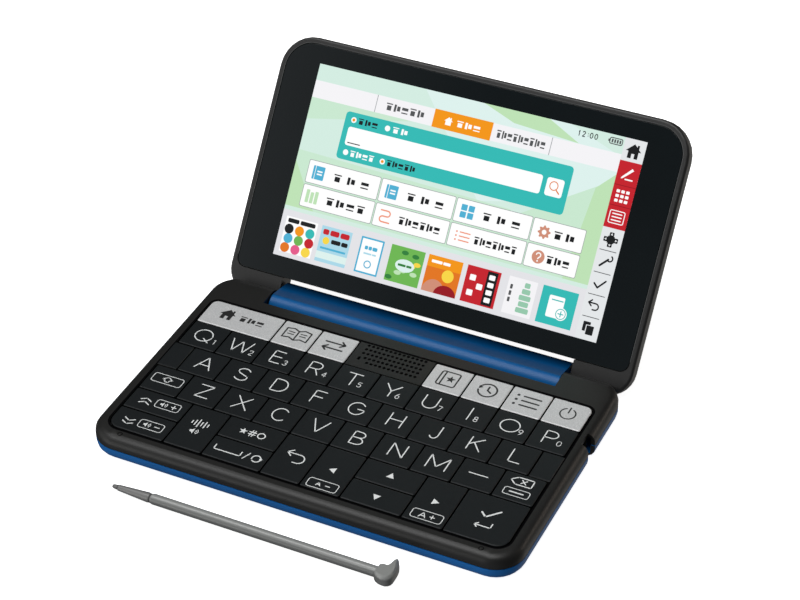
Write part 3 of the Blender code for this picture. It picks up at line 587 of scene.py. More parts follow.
# Letters: width in millimetres, and strokes in shares of half the width and half the height
BOWL = arc(0.1, 0.45, (0.9, 0.55), 90, -90, 10)
LETTERS = {
    "q": (6.7, [arc(0, 0, 1, 0, 360, 28), [(0.2, -0.5), (0.92, -1.02)]]),
    "w": (8.2, [[(-1, 1), (-0.52, -1), (0, 0.9), (0.52, -1), (1, 1)]]),
    "e": (4.1, [[(1, 1), (-1, 1), (-1, -1), (1, -1)], [(-1, 0.06), (0.82, 0.06)]]),
    "r": (4.7, [[(-1, -1), (-1, 1), (0.1, 1)] + BOWL[1:] + [(-1, -0.1)], [(0.15, -0.1), (1, -1)]]),
    "t": (5.2, [[(-1, 1), (1, 1)], [(0, 1), (0, -1)]]),
    "y": (5.7, [[(-1, 1), (0, -0.08), (1, 1)], [(0, -0.08), (0, -1)]]),
    "u": (5.3, [[(-1, 1), (-1, -0.25)] + arc(0, -0.2, (1, 0.8), 190, 350, 12) + [(1, -0.25), (1, 1)]]),
    "i": (0.6, [[(0, 1), (0, -1)]]),
    "o": (7.0, [arc(0, 0, 1, 0, 360, 28)]),
    "p": (4.6, [[(-1, -1), (-1, 1), (0.1, 1)] + BOWL[1:] + [(-1, -0.1)]]),
    "a": (5.9, [[(-1, -1), (0, 1), (1, -1)], [(-0.68, -0.36), (0.68, -0.36)]]),
    "s": (4.8, [arc(0, 0.5, (0.94, 0.5), 25, 215, 12)[:-1]
                + [(-0.55, 0.16), (0.55, -0.14)] + arc(0, -0.48, (1, 0.52), 35, -155, 12)]),
    "d": (5.5, [[(-1, -1), (-1, 1), (-0.1, 1)] + arc(-0.1, 0, (1.1, 1), 84, -84, 14)
                + [(-0.1, -1), (-1, -1)]]),
    "f": (4.1, [[(1, 1), (-1, 1), (-1, -1)], [(-1, 0.02), (0.8, 0.02)]]),
    "g": (6.0, [arc(0, 0, 1, 42, 340, 22) + [(1, -0.05), (0.15, -0.05)]]),
    "h": (5.2, [[(-1, 1), (-1, -1)], [(1, 1), (1, -1)], [(-1, 0.05), (1, 0.05)]]),
    "j": (3.2, [[(1, 1), (1, -0.4)] + arc(0, -0.4, (1, 0.6), -10, -150, 10)]),
    "k": (4.9, [[(-1, 1), (-1, -1)], [(0.9, 1), (-1, -0.2)], [(-0.35, 0.22), (1, -1)]]),
    "l": (4.3, [[(-1, 1), (-1, -1), (1, -1)]]),
    "z": (5.2, [[(-1, 1), (1, 1), (-1, -1), (1, -1)]]),
    "x": (5.7, [[(-0.95, 1), (1, -1)], [(0.95, 1), (-1, -1)]]),
    "c": (5.8, [arc(0, 0, 1, 45, 315, 22)]),
    "v": (5.9, [[(-1, 1), (0, -1), (1, 1)]]),
    "b": (4.6, [[(-1, -1), (-1, 1), (0, 1)] + arc(0, 0.53, (0.85, 0.47), 80, -80, 9)
                + [(0, 0.06), (-1, 0.06)],
                [(0, 0.06)] + arc(0, -0.47, (1, 0.53), 80, -80, 9) + [(0, -1), (-1, -1)]]),
    "n": (5.3, [[(-1, -1), (-1, 1), (1, -1), (1, 1)]]),
    "m": (7.0, [[(-1, -1), (-1, 1), (0, -0.7), (1, 1), (1, -1)]]),
}
DIGITS = {
    "1": (0.5, [[(-1, 0.6), (0.6, 1), (0.6, -1)]]),
    "2": (1.1, [arc(0, 0.45, (1, 0.55), 160, -20, 8) + [(-1, -1), (1, -1)]]),
    "3": (1.1, [arc(-0.1, 0.5, (0.95, 0.5), 150, -90, 9), arc(-0.1, -0.5, (1.1, 0.5), 90, -150, 9)]),
    "4": (1.2, [[(0.5, -1), (0.5, 1), (-1, -0.45), (1, -0.45)]]),
    "5": (1.1, [[(0.85, 1), (-0.75, 1), (-0.9, 0.15)] + arc(-0.05, -0.35, (1.0, 0.62), 120, -150, 10)]),
    "6": (1.1, [arc(0, -0.38, (1, 0.62), 0, 360, 14), [(-0.98, -0.3), (-0.5, 0.5), (0.4, 1)]]),
    "7": (1.1, [[(-1, 1), (1, 1), (-0.25, -1)]]),
    "8": (1.1, [arc(0, 0.5, (0.85, 0.5), 0, 360, 14), arc(0, -0.5, (1, 0.5), 0, 360, 14)]),
    "9": (1.1, [arc(0, 0.38, (1, 0.62), 0, 360, 14), [(0.98, 0.3), (0.5, -0.5), (-0.4, -1)]]),
    "0": (1.2, [arc(0, 0, 1, 0, 360, 16)]),
}


def write(pen, glyph, height, spread, stroke):
    """One glyph around the pen's place."""
    width, strokes = glyph
    half_x, half_y = (width * spread - stroke) / 2, (height - stroke) / 2
    pen.lines([[(u * half_x, v * half_y) for u, v in points] for points in strokes], stroke)


def draw_house(pen, door=None):
    pen.shape([(-1.12, -0.02), (1.12, -0.02), (0, 1)])
    pen.box(-0.74, -1, 0.74, 0.1)
    pen.box(0.42, 0.2, 0.72, 0.9)
    if door:
        Pen(pen.drawing, door, pen.x, pen.y, pen.scale).box(-0.2, -1, 0.22, -0.35)


def draw_speaker(pen):
    """Loudspeaker that faces right, with two waves."""
    pen.shape([(-1.1, -0.35), (-0.6, -0.35), (0, -1), (0, 1), (-0.6, 0.35), (-1.1, 0.35)])
    for radius in (0.55, 1.05):
        pen.line(arc(0.15, 0, radius, 48, -48, 6), pen.scale * 0.22)


def draw_star(pen):
    pen.shape(burst(10, 90, (1, 1 / 2.4)))


def draw_list(pen, width):
    """Three rows with a dot at the left of each."""
    for y in (1 / 3, 0, -1 / 3):
        pen.disc(-0.55, y, width * 0.8 / pen.scale, 10)
        pen.line([(-0.25, y), (0.62, y)], width)


def draw_bars(pen, x0, x1, y, height, shares):
    """A row of plain blocks in the place of a word."""
    gap = (x1 - x0) * 0.05
    length = x1 - x0 - gap * (len(shares) - 1)
    start = x0
    for share in shares:
        end = start + length * share / sum(shares)
        pen.box(start, y - height / 2, end, y + height / 2, min(height, end - start) * 0.3)
        start = end + gap


def draw_glyphs(pen, x0, x1, y, height, count):
    """A row of plain block marks, each the size of a letter, in the place of a word."""
    pitch = (x1 - x0) / count
    half = min(pitch * 0.78, height) / 2
    thin = height * 0.15
    for index in range(count):
        x = x0 + pitch * (index + 0.5)
        left, right, low, high = x - half, x + half, y - height * 0.45, y + height * 0.45
        if index % 3 == 0:
            pen.box(left, high - thin, right, high)
            pen.box(left + half * 0.3, low, right - half * 0.3, high - thin * 2)
        elif index % 3 == 1:
            pen.box(left, low, left + half * 0.7, high)
            pen.box(x, low + thin, right, high - thin)
        else:
            pen.box(left, y - thin * 0.4, right, high - thin)
            pen.box(left, low, right, low + thin)


def make_key(name, material):
    """Key cap with softly rounded edges, on its stem. The key field's own corners are large."""
    node = "key_" + name
    low, high = (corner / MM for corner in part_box(node))
    radii = [KEY_CORNER] * 4
    field_corners = {"page_down": (0, KEY_FRONT_CORNER), "enter": (1, KEY_FRONT_CORNER),
                     "power": (2, KEY_REAR_CORNER), "home": (3, KEY_REAR_CORNER)}
    if name in field_corners:
        corner, radius = field_corners[name]
        radii[corner] = radius
    bm = bmesh.new()
    middle = (low + high) / 2
    cap_low = high.z - KEY_CAP_HEIGHT
    stem = rounded(middle.x - KEY_STEM_HALF, middle.y - KEY_STEM_HALF, middle.x + KEY_STEM_HALF,
                   middle.y + KEY_STEM_HALF, [KEY_STEM_CORNER] * 4)
    outline = rounded(low.x, low.y, high.x, high.y, radii)
    rings = [[(*point, level) for point in ring]
             for ring, level in ((stem, low.z), (stem, cap_low), (outline, cap_low))]
    for step in range(EDGE_STEPS + 1):
        turn = math.radians(90 * step / EDGE_STEPS)
        inset = KEY_EDGE * (1 - math.cos(turn))
        level = high.z - KEY_EDGE * (1 - math.sin(turn))
        inner = rounded(low.x + inset, low.y + inset, high.x - inset, high.y - inset,
                        [radius - inset for radius in radii])
        rings.append([(*point, level) for point in inner])
    loft(bm, rings)
    # Painted shade: the cap's sides and the lower part of its edge round are black, to darken the gaps
    # between keys
    shade_level = high.z - KEY_EDGE * SHADED_EDGE_SHARE
    for face in bm.faces:
        face.material_index = 1 if face.calc_center_median().z / MM < shade_level else 0
    piece = make_piece(node + "_cap", bm, node, [material, SHADE_BLACK])
    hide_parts(node)
    shade(piece)
    return middle.x, middle.y, high.z


def key_plane(height):
    return Matrix.Translation((0, 0, height + LAYER))


def print_letter(pen, letter, shift, rise):
    write(pen.at(shift, rise), LETTERS[letter], CAP_HEIGHT, 1, STROKE)
    if letter in KEY_DIGITS:
        digit, side = KEY_DIGITS[letter]
        write(pen.at(side, -DIGIT_DROP), DIGITS[digit], DIGIT_HEIGHT, DIGIT_SPREAD, DIGIT_STROKE)


def print_shift(pen):
    pen = pen.at(0.3, 0.4)
    pen.frame_box(-5.5, -2.1, 5.5, 2.1)
    pen.line([(-0.8, -1.1), (-0.8, 0), (-1.9, 0), (0, 1.35), (1.9, 0), (0.8, 0), (0.8, -1.1), (-0.8, -1.1)],
             0.34)


def print_page(pen, up):
    """Two chevrons beside a boxed loudspeaker, louder or softer."""
    chevrons = pen.at(-4.5, -0.5, 1.45)
    turn = 1 if up else -1
    for rise in (0, 1.2):
        chevrons.line([(-1.3, (rise - 0.7) * turn), (0, rise * turn), (1.3, (rise - 0.7) * turn)], STROKE)
    pen = pen.at(3.6, 0.5 if up else 0)
    pen.frame_box(-4.4, -1.9, 4.4, 1.9)
    draw_speaker(pen.at(-1.6, 0, 1.1))
    pen.plus(2.2, 0, 1.7, THIN_STROKE, both=up)


def print_voice(pen):
    """Upright bars of a voice trace over a loudspeaker."""
    for index, share in enumerate((0.3, 0.65, 1, 0.5, 0.8, 0.35)):
        x = (index - 2.5) * 0.32
        pen.at(0, 2.4, 3.6).line([(x, -share / 2), (x, share / 2)], ICON_STROKE)
    draw_speaker(pen.at(-0.3, -1.6, 1.3))


def print_symbol(pen):
    """A star, a hash and a ring."""
    draw_star(pen.at(-3.3, 0, 1.5))
    pen.lines([[(-0.6, -1.4), (-0.2, 1.4)], [(0.3, -1.4), (0.7, 1.4)],
               [(-1.2, 0.5), (1.3, 0.5)], [(-1.3, -0.5), (1.2, -0.5)]], THIN_STROKE)
    pen.ring(3.3, 0, 1.25, ICON_STROKE)


def print_space(pen):
    """Space bar sign, a slash and a turning arrow."""
    pen.line([(-8, 1), (-8, -1), (1.4, -1), (1.4, 1)], STROKE)
    pen.line([(2.7, -1.6), (4.1, 1.6)], THIN_STROKE)
    pen.lines([arc(7, 0, 1.5, 200, 20, 10), arc(7, 0, 1.5, 0, -130, 8)], ICON_STROKE)
    pen.arrow(8.5, 0.1, 0.75, 270)


def print_back(pen):
    """Arrow that turns back to the left."""
    pen.lines([[(0.4, -1.8)] + arc(1.6, 0.2, 2, -90, 90, 12) + [(-3, 2.2)],
               [(-1.5, 3.6), (-3.2, 2.2), (-1.5, 0.8)]], STROKE)


def print_sideways(pen, right):
    """Arrow over a boxed letter, small at the left and large at the right."""
    pen.arrow(-0.1, 0.2, 1.5, 0 if right else 180)
    pen = pen.at(0.4, -6.6) if right else pen.at(0, -7.4)
    pen.frame_box(-5.2, -1.95, 5.2, 1.95)
    height, spread = (2.5, 0.42) if right else (1.7, 0.3)
    write(pen.at(-1.4, 0), LETTERS["a"], height, spread, 0.32)
    pen.plus(1.8, 0, 1.5, 0.34, both=right)


def print_dash(pen):
    pen.line([(-3.2, 0.4), (3.2, 0.4)], STROKE)


def print_delete(pen):
    """Erasing arrow with a cross, over a boxed mark."""
    top = pen.at(0, 2.9)
    top.line([(-4, 0), (-2, 1.7), (3.4, 1.7), (3.4, -1.7), (-2, -1.7), (-4, 0)], ICON_STROKE)
    top.lines([[(-0.4, -0.8), (1.2, 0.8)], [(-0.4, 0.8), (1.2, -0.8)]], 0.38)
    low = pen.at(0, -2.4)
    low.frame_box(-4.3, -1.6, 4.3, 1.6, 0.8)
    low.line([(-2.3, 0), (2.3, 0)], 0.5)


def print_enter(pen):
    """Tick over the return arrow."""
    pen.line([(-2.6, 2.2), (-0.8, 0.5), (3, 4.4)], 0.6)
    pen.at(0, -3.2, 2.7).lines([[(1, 0.55), (1, -0.15), (-1, -0.15)],
                                [(-0.6, 0.2), (-1, -0.15), (-0.6, -0.5)]], ICON_STROKE)


def print_home(pen):
    draw_house(pen.at(-5.7, 0.7, 2.7), KEY_SILVER)
    draw_glyphs(pen, -1.2, 8.6, 0.5, 3, 3)


def print_open_book(pen):
    """Open book seen from above."""
    pen = pen.at(0, 0.3, 3.4)
    page = ((0, -0.85), (0, 0.6), (0.6, 0.88), (1.35, 0.72), (1.35, -0.7), (0.6, -0.56), (0, -0.85))
    for side in (-1, 1):
        pen.line([(side * u, v) for u, v in page], SILVER_STROKE)
        for rise in (0.32, -0.05):
            pen.line([(side * 0.35, rise * 0.9), (side, rise)], SILVER_STROKE * 0.8)


def print_two_ways(pen):
    """Two-way translation: a pair of opposed arrows."""
    for side, rise in ((1, 1.8), (-1, -1.2)):
        pen.lines([[(-side * 3.6, rise), (side * 3.6, rise)],
                   [(side * 2.1, rise + 1.3), (side * 3.6, rise), (side * 2.1, rise - 1.3)]], 0.68)


def print_starred_book(pen):
    """Closed book with a star."""
    pen.frame_box(-3.3, -3.2, 3.3, 3.8, 0.8, SILVER_STROKE)
    pen.line([(-1.9, -3.2), (-1.9, 3.8)], SILVER_STROKE)
    draw_star(pen.at(0.8, 0.4, 1.8))


def print_clock(pen):
    """Clock face whose rim ends in an arrow."""
    pen = pen.at(0, 0.3, 3.2)
    pen.line(arc(0, 0, 1, 150, -170, 24), 0.62)
    pen.arrow(-0.9, 0.28, 0.3, 250)
    pen.line([(0, 0.58), (0, 0), (0.45, -0.3)], 0.62)


def print_list(pen):
    draw_list(pen.at(-0.2, 0.3, 6.8), 0.68)


def print_power(pen):
    pen.at(0.1, 0.3).lines([arc(0, 0, 2.6, 118, 422, 22), [(0, 0.4), (0, 3.1)]], 0.5)


# Each letter row with its shift to the right and its rise
LETTER_ROWS = (("qwertyuiop", -0.4, TOP_CAP_RISE), ("asdfghjkl", 0.4, CAP_RISE),
               ("zxcvbnm", 0.25, CAP_RISE))
# The digit on each key of the top letter row, and how far it stands to the right
KEY_DIGITS = {"q": ("1", 4.6), "w": ("2", 4.5), "e": ("3", 3.4), "r": ("4", 3.9), "t": ("5", 2.8),
              "y": ("6", 2.6), "u": ("7", 3.7), "i": ("8", 2.4), "o": ("9", 4.0), "p": ("0", 3.2)}
SILVER_KEYS = {
    "home": print_home, "menu_1": print_open_book, "menu_2": print_two_ways, "menu_3": print_starred_book,
    "menu_4": print_clock, "menu_5": print_list, "power": print_power,
}
BLACK_KEYS = {
    "shift": print_shift, "voice": print_voice, "symbol": print_symbol, "space": print_space,
    "back": print_back, "dash": print_dash, "delete": print_delete, "enter": print_enter,
    "page_up": lambda pen: print_page(pen, up=True), "page_down": lambda pen: print_page(pen, up=False),
    "left": lambda pen: print_sideways(pen, right=False),
    "right": lambda pen: print_sideways(pen, right=True),
    "up": lambda pen: pen.arrow(0, 0, 1.55, 90), "down": lambda pen: pen.arrow(0, 0, 1.55, 270),
}


def make_printed_key(name, printer):
    """One key with its legend: dark ink on silver keys and light ink on black ones."""
    material, slot, ink = KEY_BLACK, "key_black", INK_LIGHT
    if name in SILVER_KEYS:
        material, slot, ink = KEY_SILVER, "key_silver", INK_DARK
    x, y, top = make_key(name, material)
    drawing = Drawing(key_plane(top))
    printer(Pen(drawing, ink, x, y))
    drawing.finished("legend_" + name, "key_" + name)


def make_keyboard():
    """All key caps and their printing."""
    for letters, shift, rise in LETTER_ROWS:
        for letter in letters:
            make_printed_key(letter, lambda pen: print_letter(pen, letter, shift, rise))
    for name, printer in {**SILVER_KEYS, **BLACK_KEYS}.items():
        make_printed_key(name, printer)


# Screen colours
UI = {name: lit("ui " + name, srgb(*values)) for name, values in {
    "pale_green": (211, 236, 225), "mint": (201, 232, 208), "ice": (221, 241, 237), "leaf": (190, 226, 182),
    "band": (244, 243, 246), "line": (150, 155, 158), "orange": (243, 150, 24), "white": (255, 255, 255),
    "teal": (53, 186, 181), "ink": (28, 30, 32), "grey": (84, 86, 88), "shelf": (227, 227, 231),
    "strip": (228, 231, 233), "red": (196, 36, 46), "dark_red": (150, 26, 36), "blue": (80, 176, 211),
    "brown": (208, 143, 120), "coral": (240, 150, 120), "green": (110, 182, 84),
    "deep_green": (52, 128, 62), "yellow": (247, 214, 72), "amber": (226, 118, 34),
    "pink": (228, 92, 140), "sky": (170, 216, 232), "sage": (150, 200, 172),
}.items()}


def pens(drawing, x=0.0, y=0.0):
    """A pen in each screen colour, around a place."""
    return {name: Pen(drawing, material, x, y) for name, material in UI.items()}


def lid_plane():
    """Plane of the lid's glass: the hinge's two least angles together close the lid."""
    joints = {joint["name"]: joint for joint in frame["joints"]}
    closing = joints["base_hinge"]["range_deg"][0] + joints["lid_hinge"]["range_deg"][0]
    place = Vector(joints["lid_hinge"]["pos_m"]) / MM
    tilt = Matrix.Rotation(math.radians(180 + closing), 4, "X")
    return Matrix.Translation(place) @ tilt @ Matrix.Translation((0, 0, GLASS_TOP))


def draw_wallpaper(ui):
    """Pale green ground with broad facets."""
    ui["pale_green"].box(-SCREEN_HALF, SCREEN_LOW, SCREEN_HALF, SCREEN_HIGH)
    for name, facet in (
        ("ice", [(-20, SCREEN_HIGH), (34, SCREEN_HIGH), (STRIP_LEFT, 74), (STRIP_LEFT, 58), (8, 48)]),
        ("mint", [(-SCREEN_HALF, 61), (-22, TAB_LOW), (-SCREEN_HALF, TAB_LOW)]),
        ("mint", [(-4, 30), (STRIP_LEFT, 66), (STRIP_LEFT, 30)]),
        ("mint", [(-SCREEN_HALF, 30), (STRIP_LEFT, 30), (20, 48), (-SCREEN_HALF, 50)]),
        ("leaf", [(-SCREEN_HALF, 30), (-50, 30), (-SCREEN_HALF, 46)]),
        ("leaf", [(2, SCREEN_HIGH), (26, SCREEN_HIGH), (38, 75), (14, 76.5)]),
        ("leaf", [(44, 30), (STRIP_LEFT, 30), (STRIP_LEFT, 68), (47.5, 62)]),
    ):
        ui[name].shape(facet)


def draw_tabs(ui):
    ui["band"].box(-SCREEN_HALF, TAB_LOW, STRIP_LEFT, TAB_HIGH)
    for x in (-36.7, 28.6):
        ui["line"].box(x - RULE_HALF, TAB_LOW, x + RULE_HALF, TAB_HIGH)
    ui["orange"].box(-14.9, TAB_LOW - 0.1, 6.9, TAB_HIGH + 0.1)
    draw_house(ui["white"].at(-9.2, 71.8, 1.4))
    draw_glyphs(ui["white"], -6.4, 3.0, 71.7, 2.4, 3)
    draw_glyphs(ui["grey"], -33.2, -18.2, 71.8, 2.8, 5)
    draw_glyphs(ui["grey"], 8.6, 26.8, 71.7, 3.0, 9)


def draw_status(ui):
    """Clock digits and battery above the tabs."""
    for digit, x in (("1", 37.2), ("2", 38.9), ("0", 41.6), ("0", 43.3)):
        write(ui["ink"].at(x, 78.5), DIGITS[digit], 2.0, 1.05, 0.3)
    for y in (78.1, 78.9):
        ui["ink"].disc(40.45, y, 0.17, 8)
    ui["grey"].frame_box(48.2, 77.6, 52.6, 79.6, 0.5, 0.34)
    ui["grey"].box(47.6, 78.2, 48.1, 79.0)
    for index in range(4):
        ui["grey"].box(48.8 + 0.92 * index, 78.0, 49.4 + 0.92 * index, 79.2)


def draw_radio(ui, x, y, chosen, length, count):
    """Round choice mark and a word's marks, dark where chosen."""
    ui["white"].disc(x, y, 1.0)
    if chosen:
        ui["orange"].disc(x, y, 0.55)
    draw_glyphs(ui["ink" if chosen else "white"], x + 1.5, x + 1.5 + length, y, 2.3, count)


def draw_search(ui):
    """Teal search panel with its field and magnifier."""
    ui["teal"].box(-46.7, 50.3, 38.6, 67.0, 1.3)
    draw_radio(ui, -43.4, 64.4, True, 7.9, 3)
    draw_radio(ui, -30.4, 64.4, False, 6.6, 2)
    ui["white"].box(-44.7, 55.4, 28.7, 61.9, 0.9)
    ui["ink"].box(-43.8, 56.2, -38.9, 56.55)
    draw_radio(ui, -43.5, 52.9, False, 9.6, 4)
    draw_radio(ui, -29.3, 52.9, True, 11.2, 5)
    ui["white"].box(30.4, 55.6, 36.6, 61.8, 0.9)
    ui["amber"].ring(33.2, 59.2, 1.45, 0.32)
    ui["amber"].line([(34.3, 58.0), (35.5, 56.9)], 0.42)


def draw_button(ui, x0, x1, y0, y1, count):
    """White button with a thin edge and a word's marks."""
    ui["line"].box(x0 - 0.2, y0 - 0.2, x1 + 0.2, y1 + 0.2, 0.55)
    ui["white"].box(x0, y0, x1, y1, 0.45)
    start = x0 + (9.0 if x1 - x0 > 22 else 7.2)
    draw_glyphs(ui["ink"], start, x1 - 2.6, (y0 + y1) / 2 - 0.1, 2.9, count)


def draw_buttons(ui):
    """Two rows of four buttons, each with its icon."""
    columns = ((-55.7, -28.2), (-27.4, 0.3), (1.1, 28.8), (29.5, 48.1))
    words = (3, 3, 3, 2), (4, 6, 7, 3)
    for row, (low, high) in enumerate(((39.6, 47.4), (31.1, 38.7))):
        for column, (x0, x1) in enumerate(columns):
            draw_button(ui, x0, x1, low, high, words[row][column])
    for x in (-51.4, -23.0):
        ui["blue"].at(x, 43.5).box(-2.4, -2.4, 2.1, 2.4, 0.3)
        for page in ((-1.6, -2.4, -1.4, 2.4), (-0.7, 0.3, 1.3, 0.8), (-0.7, -0.7, 1.3, -0.2)):
            ui["white"].at(x, 43.5).box(*page)
    for x in (4.15, 6.85):
        for y in (42.25, 44.75):
            ui["blue"].box(x - 1.1, y - 1.05, x + 1.1, y + 1.05, 0.2)
    ui["brown"].at(33.9, 43.4, 2.3).shape(burst(32, 0, (1, 1, 0.76, 0.76)))
    ui["white"].disc(33.9, 43.4, 0.828)
    for index, height in enumerate((4.6, 3.9, 4.4)):
        ui["leaf"].box(-54.2 + 1.7 * index, 32.6, -52.9 + 1.7 * index, 32.6 + height, 0.2)
    ui["coral"].line([(-25.2, 36.8), (-22.6, 36.8)] + arc(-22.6, 35.8, 1, 80, -80, 6)
                     + [(-24.2, 34.8)] + arc(-24.2, 33.8, 1, 100, 260, 6) + [(-21.4, 32.8)], 0.5)
    draw_list(ui["coral"].at(5.9, 34.9, 4.2), 0.42)
    ui["brown"].disc(34.0, 34.9, 2.3)
    ui["white"].line(arc(34.0, 35.5, (0.8, 0.75), 170, -60, 8) + [(34.0, 34.3)], 0.42)
    ui["white"].disc(34.0, 33.5, 0.3, 10)


def draw_mosaic_cover(ui, width):
    """Large dots in a loose grid."""
    step_x, step_y = width / 3, (COVER_HEIGHT - 2.6) / 3
    colors = ("amber", "pink", "yellow", "blue", "green", "red", "ink", "orange", "teal")
    for index, name in enumerate(colors):
        row, column = divmod(index, 3)
        shift = 0.3 if row % 2 else -0.15
        ui[name].disc(step_x * (column + 0.5) + shift, step_y * (row + 0.5), 1.75)
    draw_bars(ui["ink"], 0.8, width - 0.8, COVER_HEIGHT - 1.3, 1.5, (3, 4))


def draw_wave_cover(ui, width):
    """Level bands and a dot."""
    ui["ice"].box(0, 1.2, width, 3.6)
    ui["blue"].box(1, 4.6, width - 1, 5.3)
    ui["yellow"].disc(2.6, 7.6, 1.3)
    draw_bars(ui["ink"], 4.6, width - 0.8, 7.7, 1.5, (3, 2))
    draw_bars(ui["red"], 0.8, width - 0.8, COVER_HEIGHT - 2, 1.9, (2, 3, 3))


def draw_card_cover(ui, width):
    """White card in a blue edge."""
    ui["white"].box(0.6, 0.6, width - 0.6, COVER_HEIGHT - 0.6)
    draw_bars(ui["blue"], 2, width - 2, COVER_HEIGHT - 3.6, 1.3, (2, 2, 3))
    draw_bars(ui["sky"], 2, width - 2, COVER_HEIGHT - 5.6, 0.6, (4, 2))
    ui["blue"].ring(width / 2, 3.4, 1.2, 0.4)


def draw_leaf_cover(ui, width):
    """Overlapping leaves around a light middle."""
    for index in range(9):
        x = 1.4 + (index * 4.7) % (width - 2.8)
        y = 1.4 + (index * 3.1) % (COVER_HEIGHT - 2.8)
        ui[("deep_green", "leaf", "yellow")[index % 3]].shape(arc(x, y, (1.35, 0.8), 30, 390, 10)[:-1])
    ui["ice"].shape(arc(width / 2, COVER_HEIGHT / 2, (3.6, 2.2), 0, 360, 20)[:-1])
    draw_bars(ui["deep_green"], 3.8, width - 3.8, COVER_HEIGHT / 2, 0.8, (3, 2))


def draw_hill_cover(ui, width):
    """Low sun behind hills."""
    ui["orange"].box(0, COVER_HEIGHT - 4, width, COVER_HEIGHT)
    ui["yellow"].disc(width - 4.4, 6.6, 2.2)
    ui["brown"].shape([(0, 0)] + arc(4.2, 0, (4.2, 4.6), 178, 2, 12) + [(8.4, 0)])
    ui["dark_red"].shape([(4.6, 0)] + arc(width - 4.1, 0, (4.1, 3.4), 178, 2, 12) + [(width, 0)])
    draw_bars(ui["white"], 1.4, 8.4, COVER_HEIGHT - 2, 1, (3, 2))


def draw_band_cover(ui, width):
    """Black band and pale blocks."""
    ui["ink"].box(7.6, 0.5, width - 1, COVER_HEIGHT - 0.5)
    for index in range(4):
        low = 1.5 + 2.6 * index
        ui["white"].box(8.4, low, 10.6, low + 1.7, 0.3)
        if index < 3:
            left = 1.6 + (index % 2) * 3
            ui["white"].box(left, low + 1, left + 2.2, low + 3, 0.3)


def draw_stack_cover(ui, width):
    """Stack of green blocks."""
    middle = width - 3.4
    for index, block in enumerate((4.6, 3.6, 4.2, 3.0, 2.0)):
        low = 1.2 + 2.15 * index
        ui["sage"].box(middle - block / 2, low, middle + block / 2, low + 1.75, 0.4)
    for low in (4, 6.2, 8.4):
        ui["grey"].box(1, low, 1.9, low + 1.6, 0.2)


def draw_new_cover(ui, width):
    """White book with a plus sign."""
    ui["white"].box(3, 2.6, 8.6, 10, 0.5)
    ui["teal"].box(4, 8.4, 8.2, 8.8)
    x = width - 4.6
    ui["white"].disc(x, 4.4, 2.2)
    ui["teal"].ring(x, 4.4, 1.7, 0.28)
    ui["teal"].plus(x, 4.4, 1.8, THIN_STROKE)


# Book covers on the shelf: place of the left side, width, ground and motif
COVERS = (
    (-59.2, 12.3, "white", draw_mosaic_cover), (-45.2, 11.8, "sky", draw_wave_cover),
    (-29.8, 8.8, "blue", draw_card_cover), (-18.2, 12.8, "green", draw_leaf_cover),
    (-4.0, 12.8, "amber", draw_hill_cover), (10.6, 12.4, "red", draw_band_cover),
    (26.0, 10.4, "band", draw_stack_cover), (38.4, 12.8, "teal", draw_new_cover),
)


def draw_shelf(ui):
    """Row of plain book covers with generic motifs."""
    ui["shelf"].box(-SCREEN_HALF, SCREEN_LOW, STRIP_LEFT, SHELF_HIGH)
    for x, width, ground, draw_cover in COVERS:
        cover = pens(ui["shelf"].drawing, x, COVER_LOW)
        cover[ground].box(0, 0, width, COVER_HEIGHT)
        draw_cover(cover, width)


def draw_strip(ui):
    """Side strip of commands, each a plain sign around the strip's middle."""
    ui["strip"].box(STRIP_LEFT, SCREEN_LOW, SCREEN_HALF, SCREEN_HIGH)
    side = pens(ui["strip"].drawing, (STRIP_LEFT + SCREEN_HALF) / 2 - 0.1)
    ink, white = side["ink"], side["white"]
    draw_house(ink.at(0, 76.7, 2.45), UI["strip"])
    ui["red"].box(STRIP_LEFT, 50.4, SCREEN_HALF, 73.1)
    for y in (64.9, 58.0):
        ui["dark_red"].box(STRIP_LEFT, y - RULE_HALF, SCREEN_HALF, y + RULE_HALF)
    marker = white.at(0, 69.1, 2)
    marker.shape([(-1, -1), (-0.68, -0.9), (0.95, 0.62), (0.62, 0.95), (-0.9, -0.68)])
    marker.line([(-0.2, -1), (1, -1)], 0.48)
    for row in range(3):
        for column in range(3):
            left, low = -2.3 + 1.7 * column, 59.2 + 1.6 * row
            white.box(left, low, left + 1.2, low + 1, 0.2)
    white.frame_box(-2.6, 52.1, 2.6, 56.3, 0.5, 0.3)
    white.lines([[(-1.6, y), (1.6, y)] for y in (53.1, 54.2, 55.3)], 0.4)
    for turn in (0, 90, 180, 270):
        dx, dy = math.cos(math.radians(turn)), math.sin(math.radians(turn))
        ink.at(dx * 1.7, 46.5 + dy * 1.7).box(-0.82, -0.82, 0.82, 0.82, 0.25)
        side["strip"].arrow(dx * 1.8, 46.5 + dy * 1.8, 0.5, turn)
    ink.box(-1.2, 45.3, 1.2, 47.7)
    for y in (42.75, 35.1, 27.55, 19.95):
        side["grey"].box(-3, y - 0.13, 3, y + 0.13)
    ink.line([(-1.6, 37.4), (0.9, 39.9)], 0.7)
    ink.line(arc(1.4, 40.3, 0.95, 60, -130, 8), 0.5)
    ink.line([(-1.8, 31.3), (-0.4, 30.0), (2.0, 32.7)], 0.6)
    ink.lines([[(-0.2, 22.5)] + arc(0.6, 23.6, 1.1, -90, 90, 8) + [(-1.8, 24.7)],
               [(-0.9, 25.7), (-2.0, 24.7), (-0.9, 23.7)]], 0.5)
    ink.box(-2.0, 15.0, 0.6, 18.3, 0.2)
    side["strip"].box(-0.9, 13.8, 2.2, 17.3, 0.2)
    ink.box(-0.6, 14.0, 2.0, 17.1, 0.2)


def make_screen():
    """The lit picture, just over the glass's face."""
    drawing = Drawing(lid_plane())
    ui = pens(drawing)
    for draw in (draw_wallpaper, draw_tabs, draw_status, draw_search, draw_shelf, draw_buttons, draw_strip):
        draw(ui)
    drawing.finished("screen_picture", "lid")


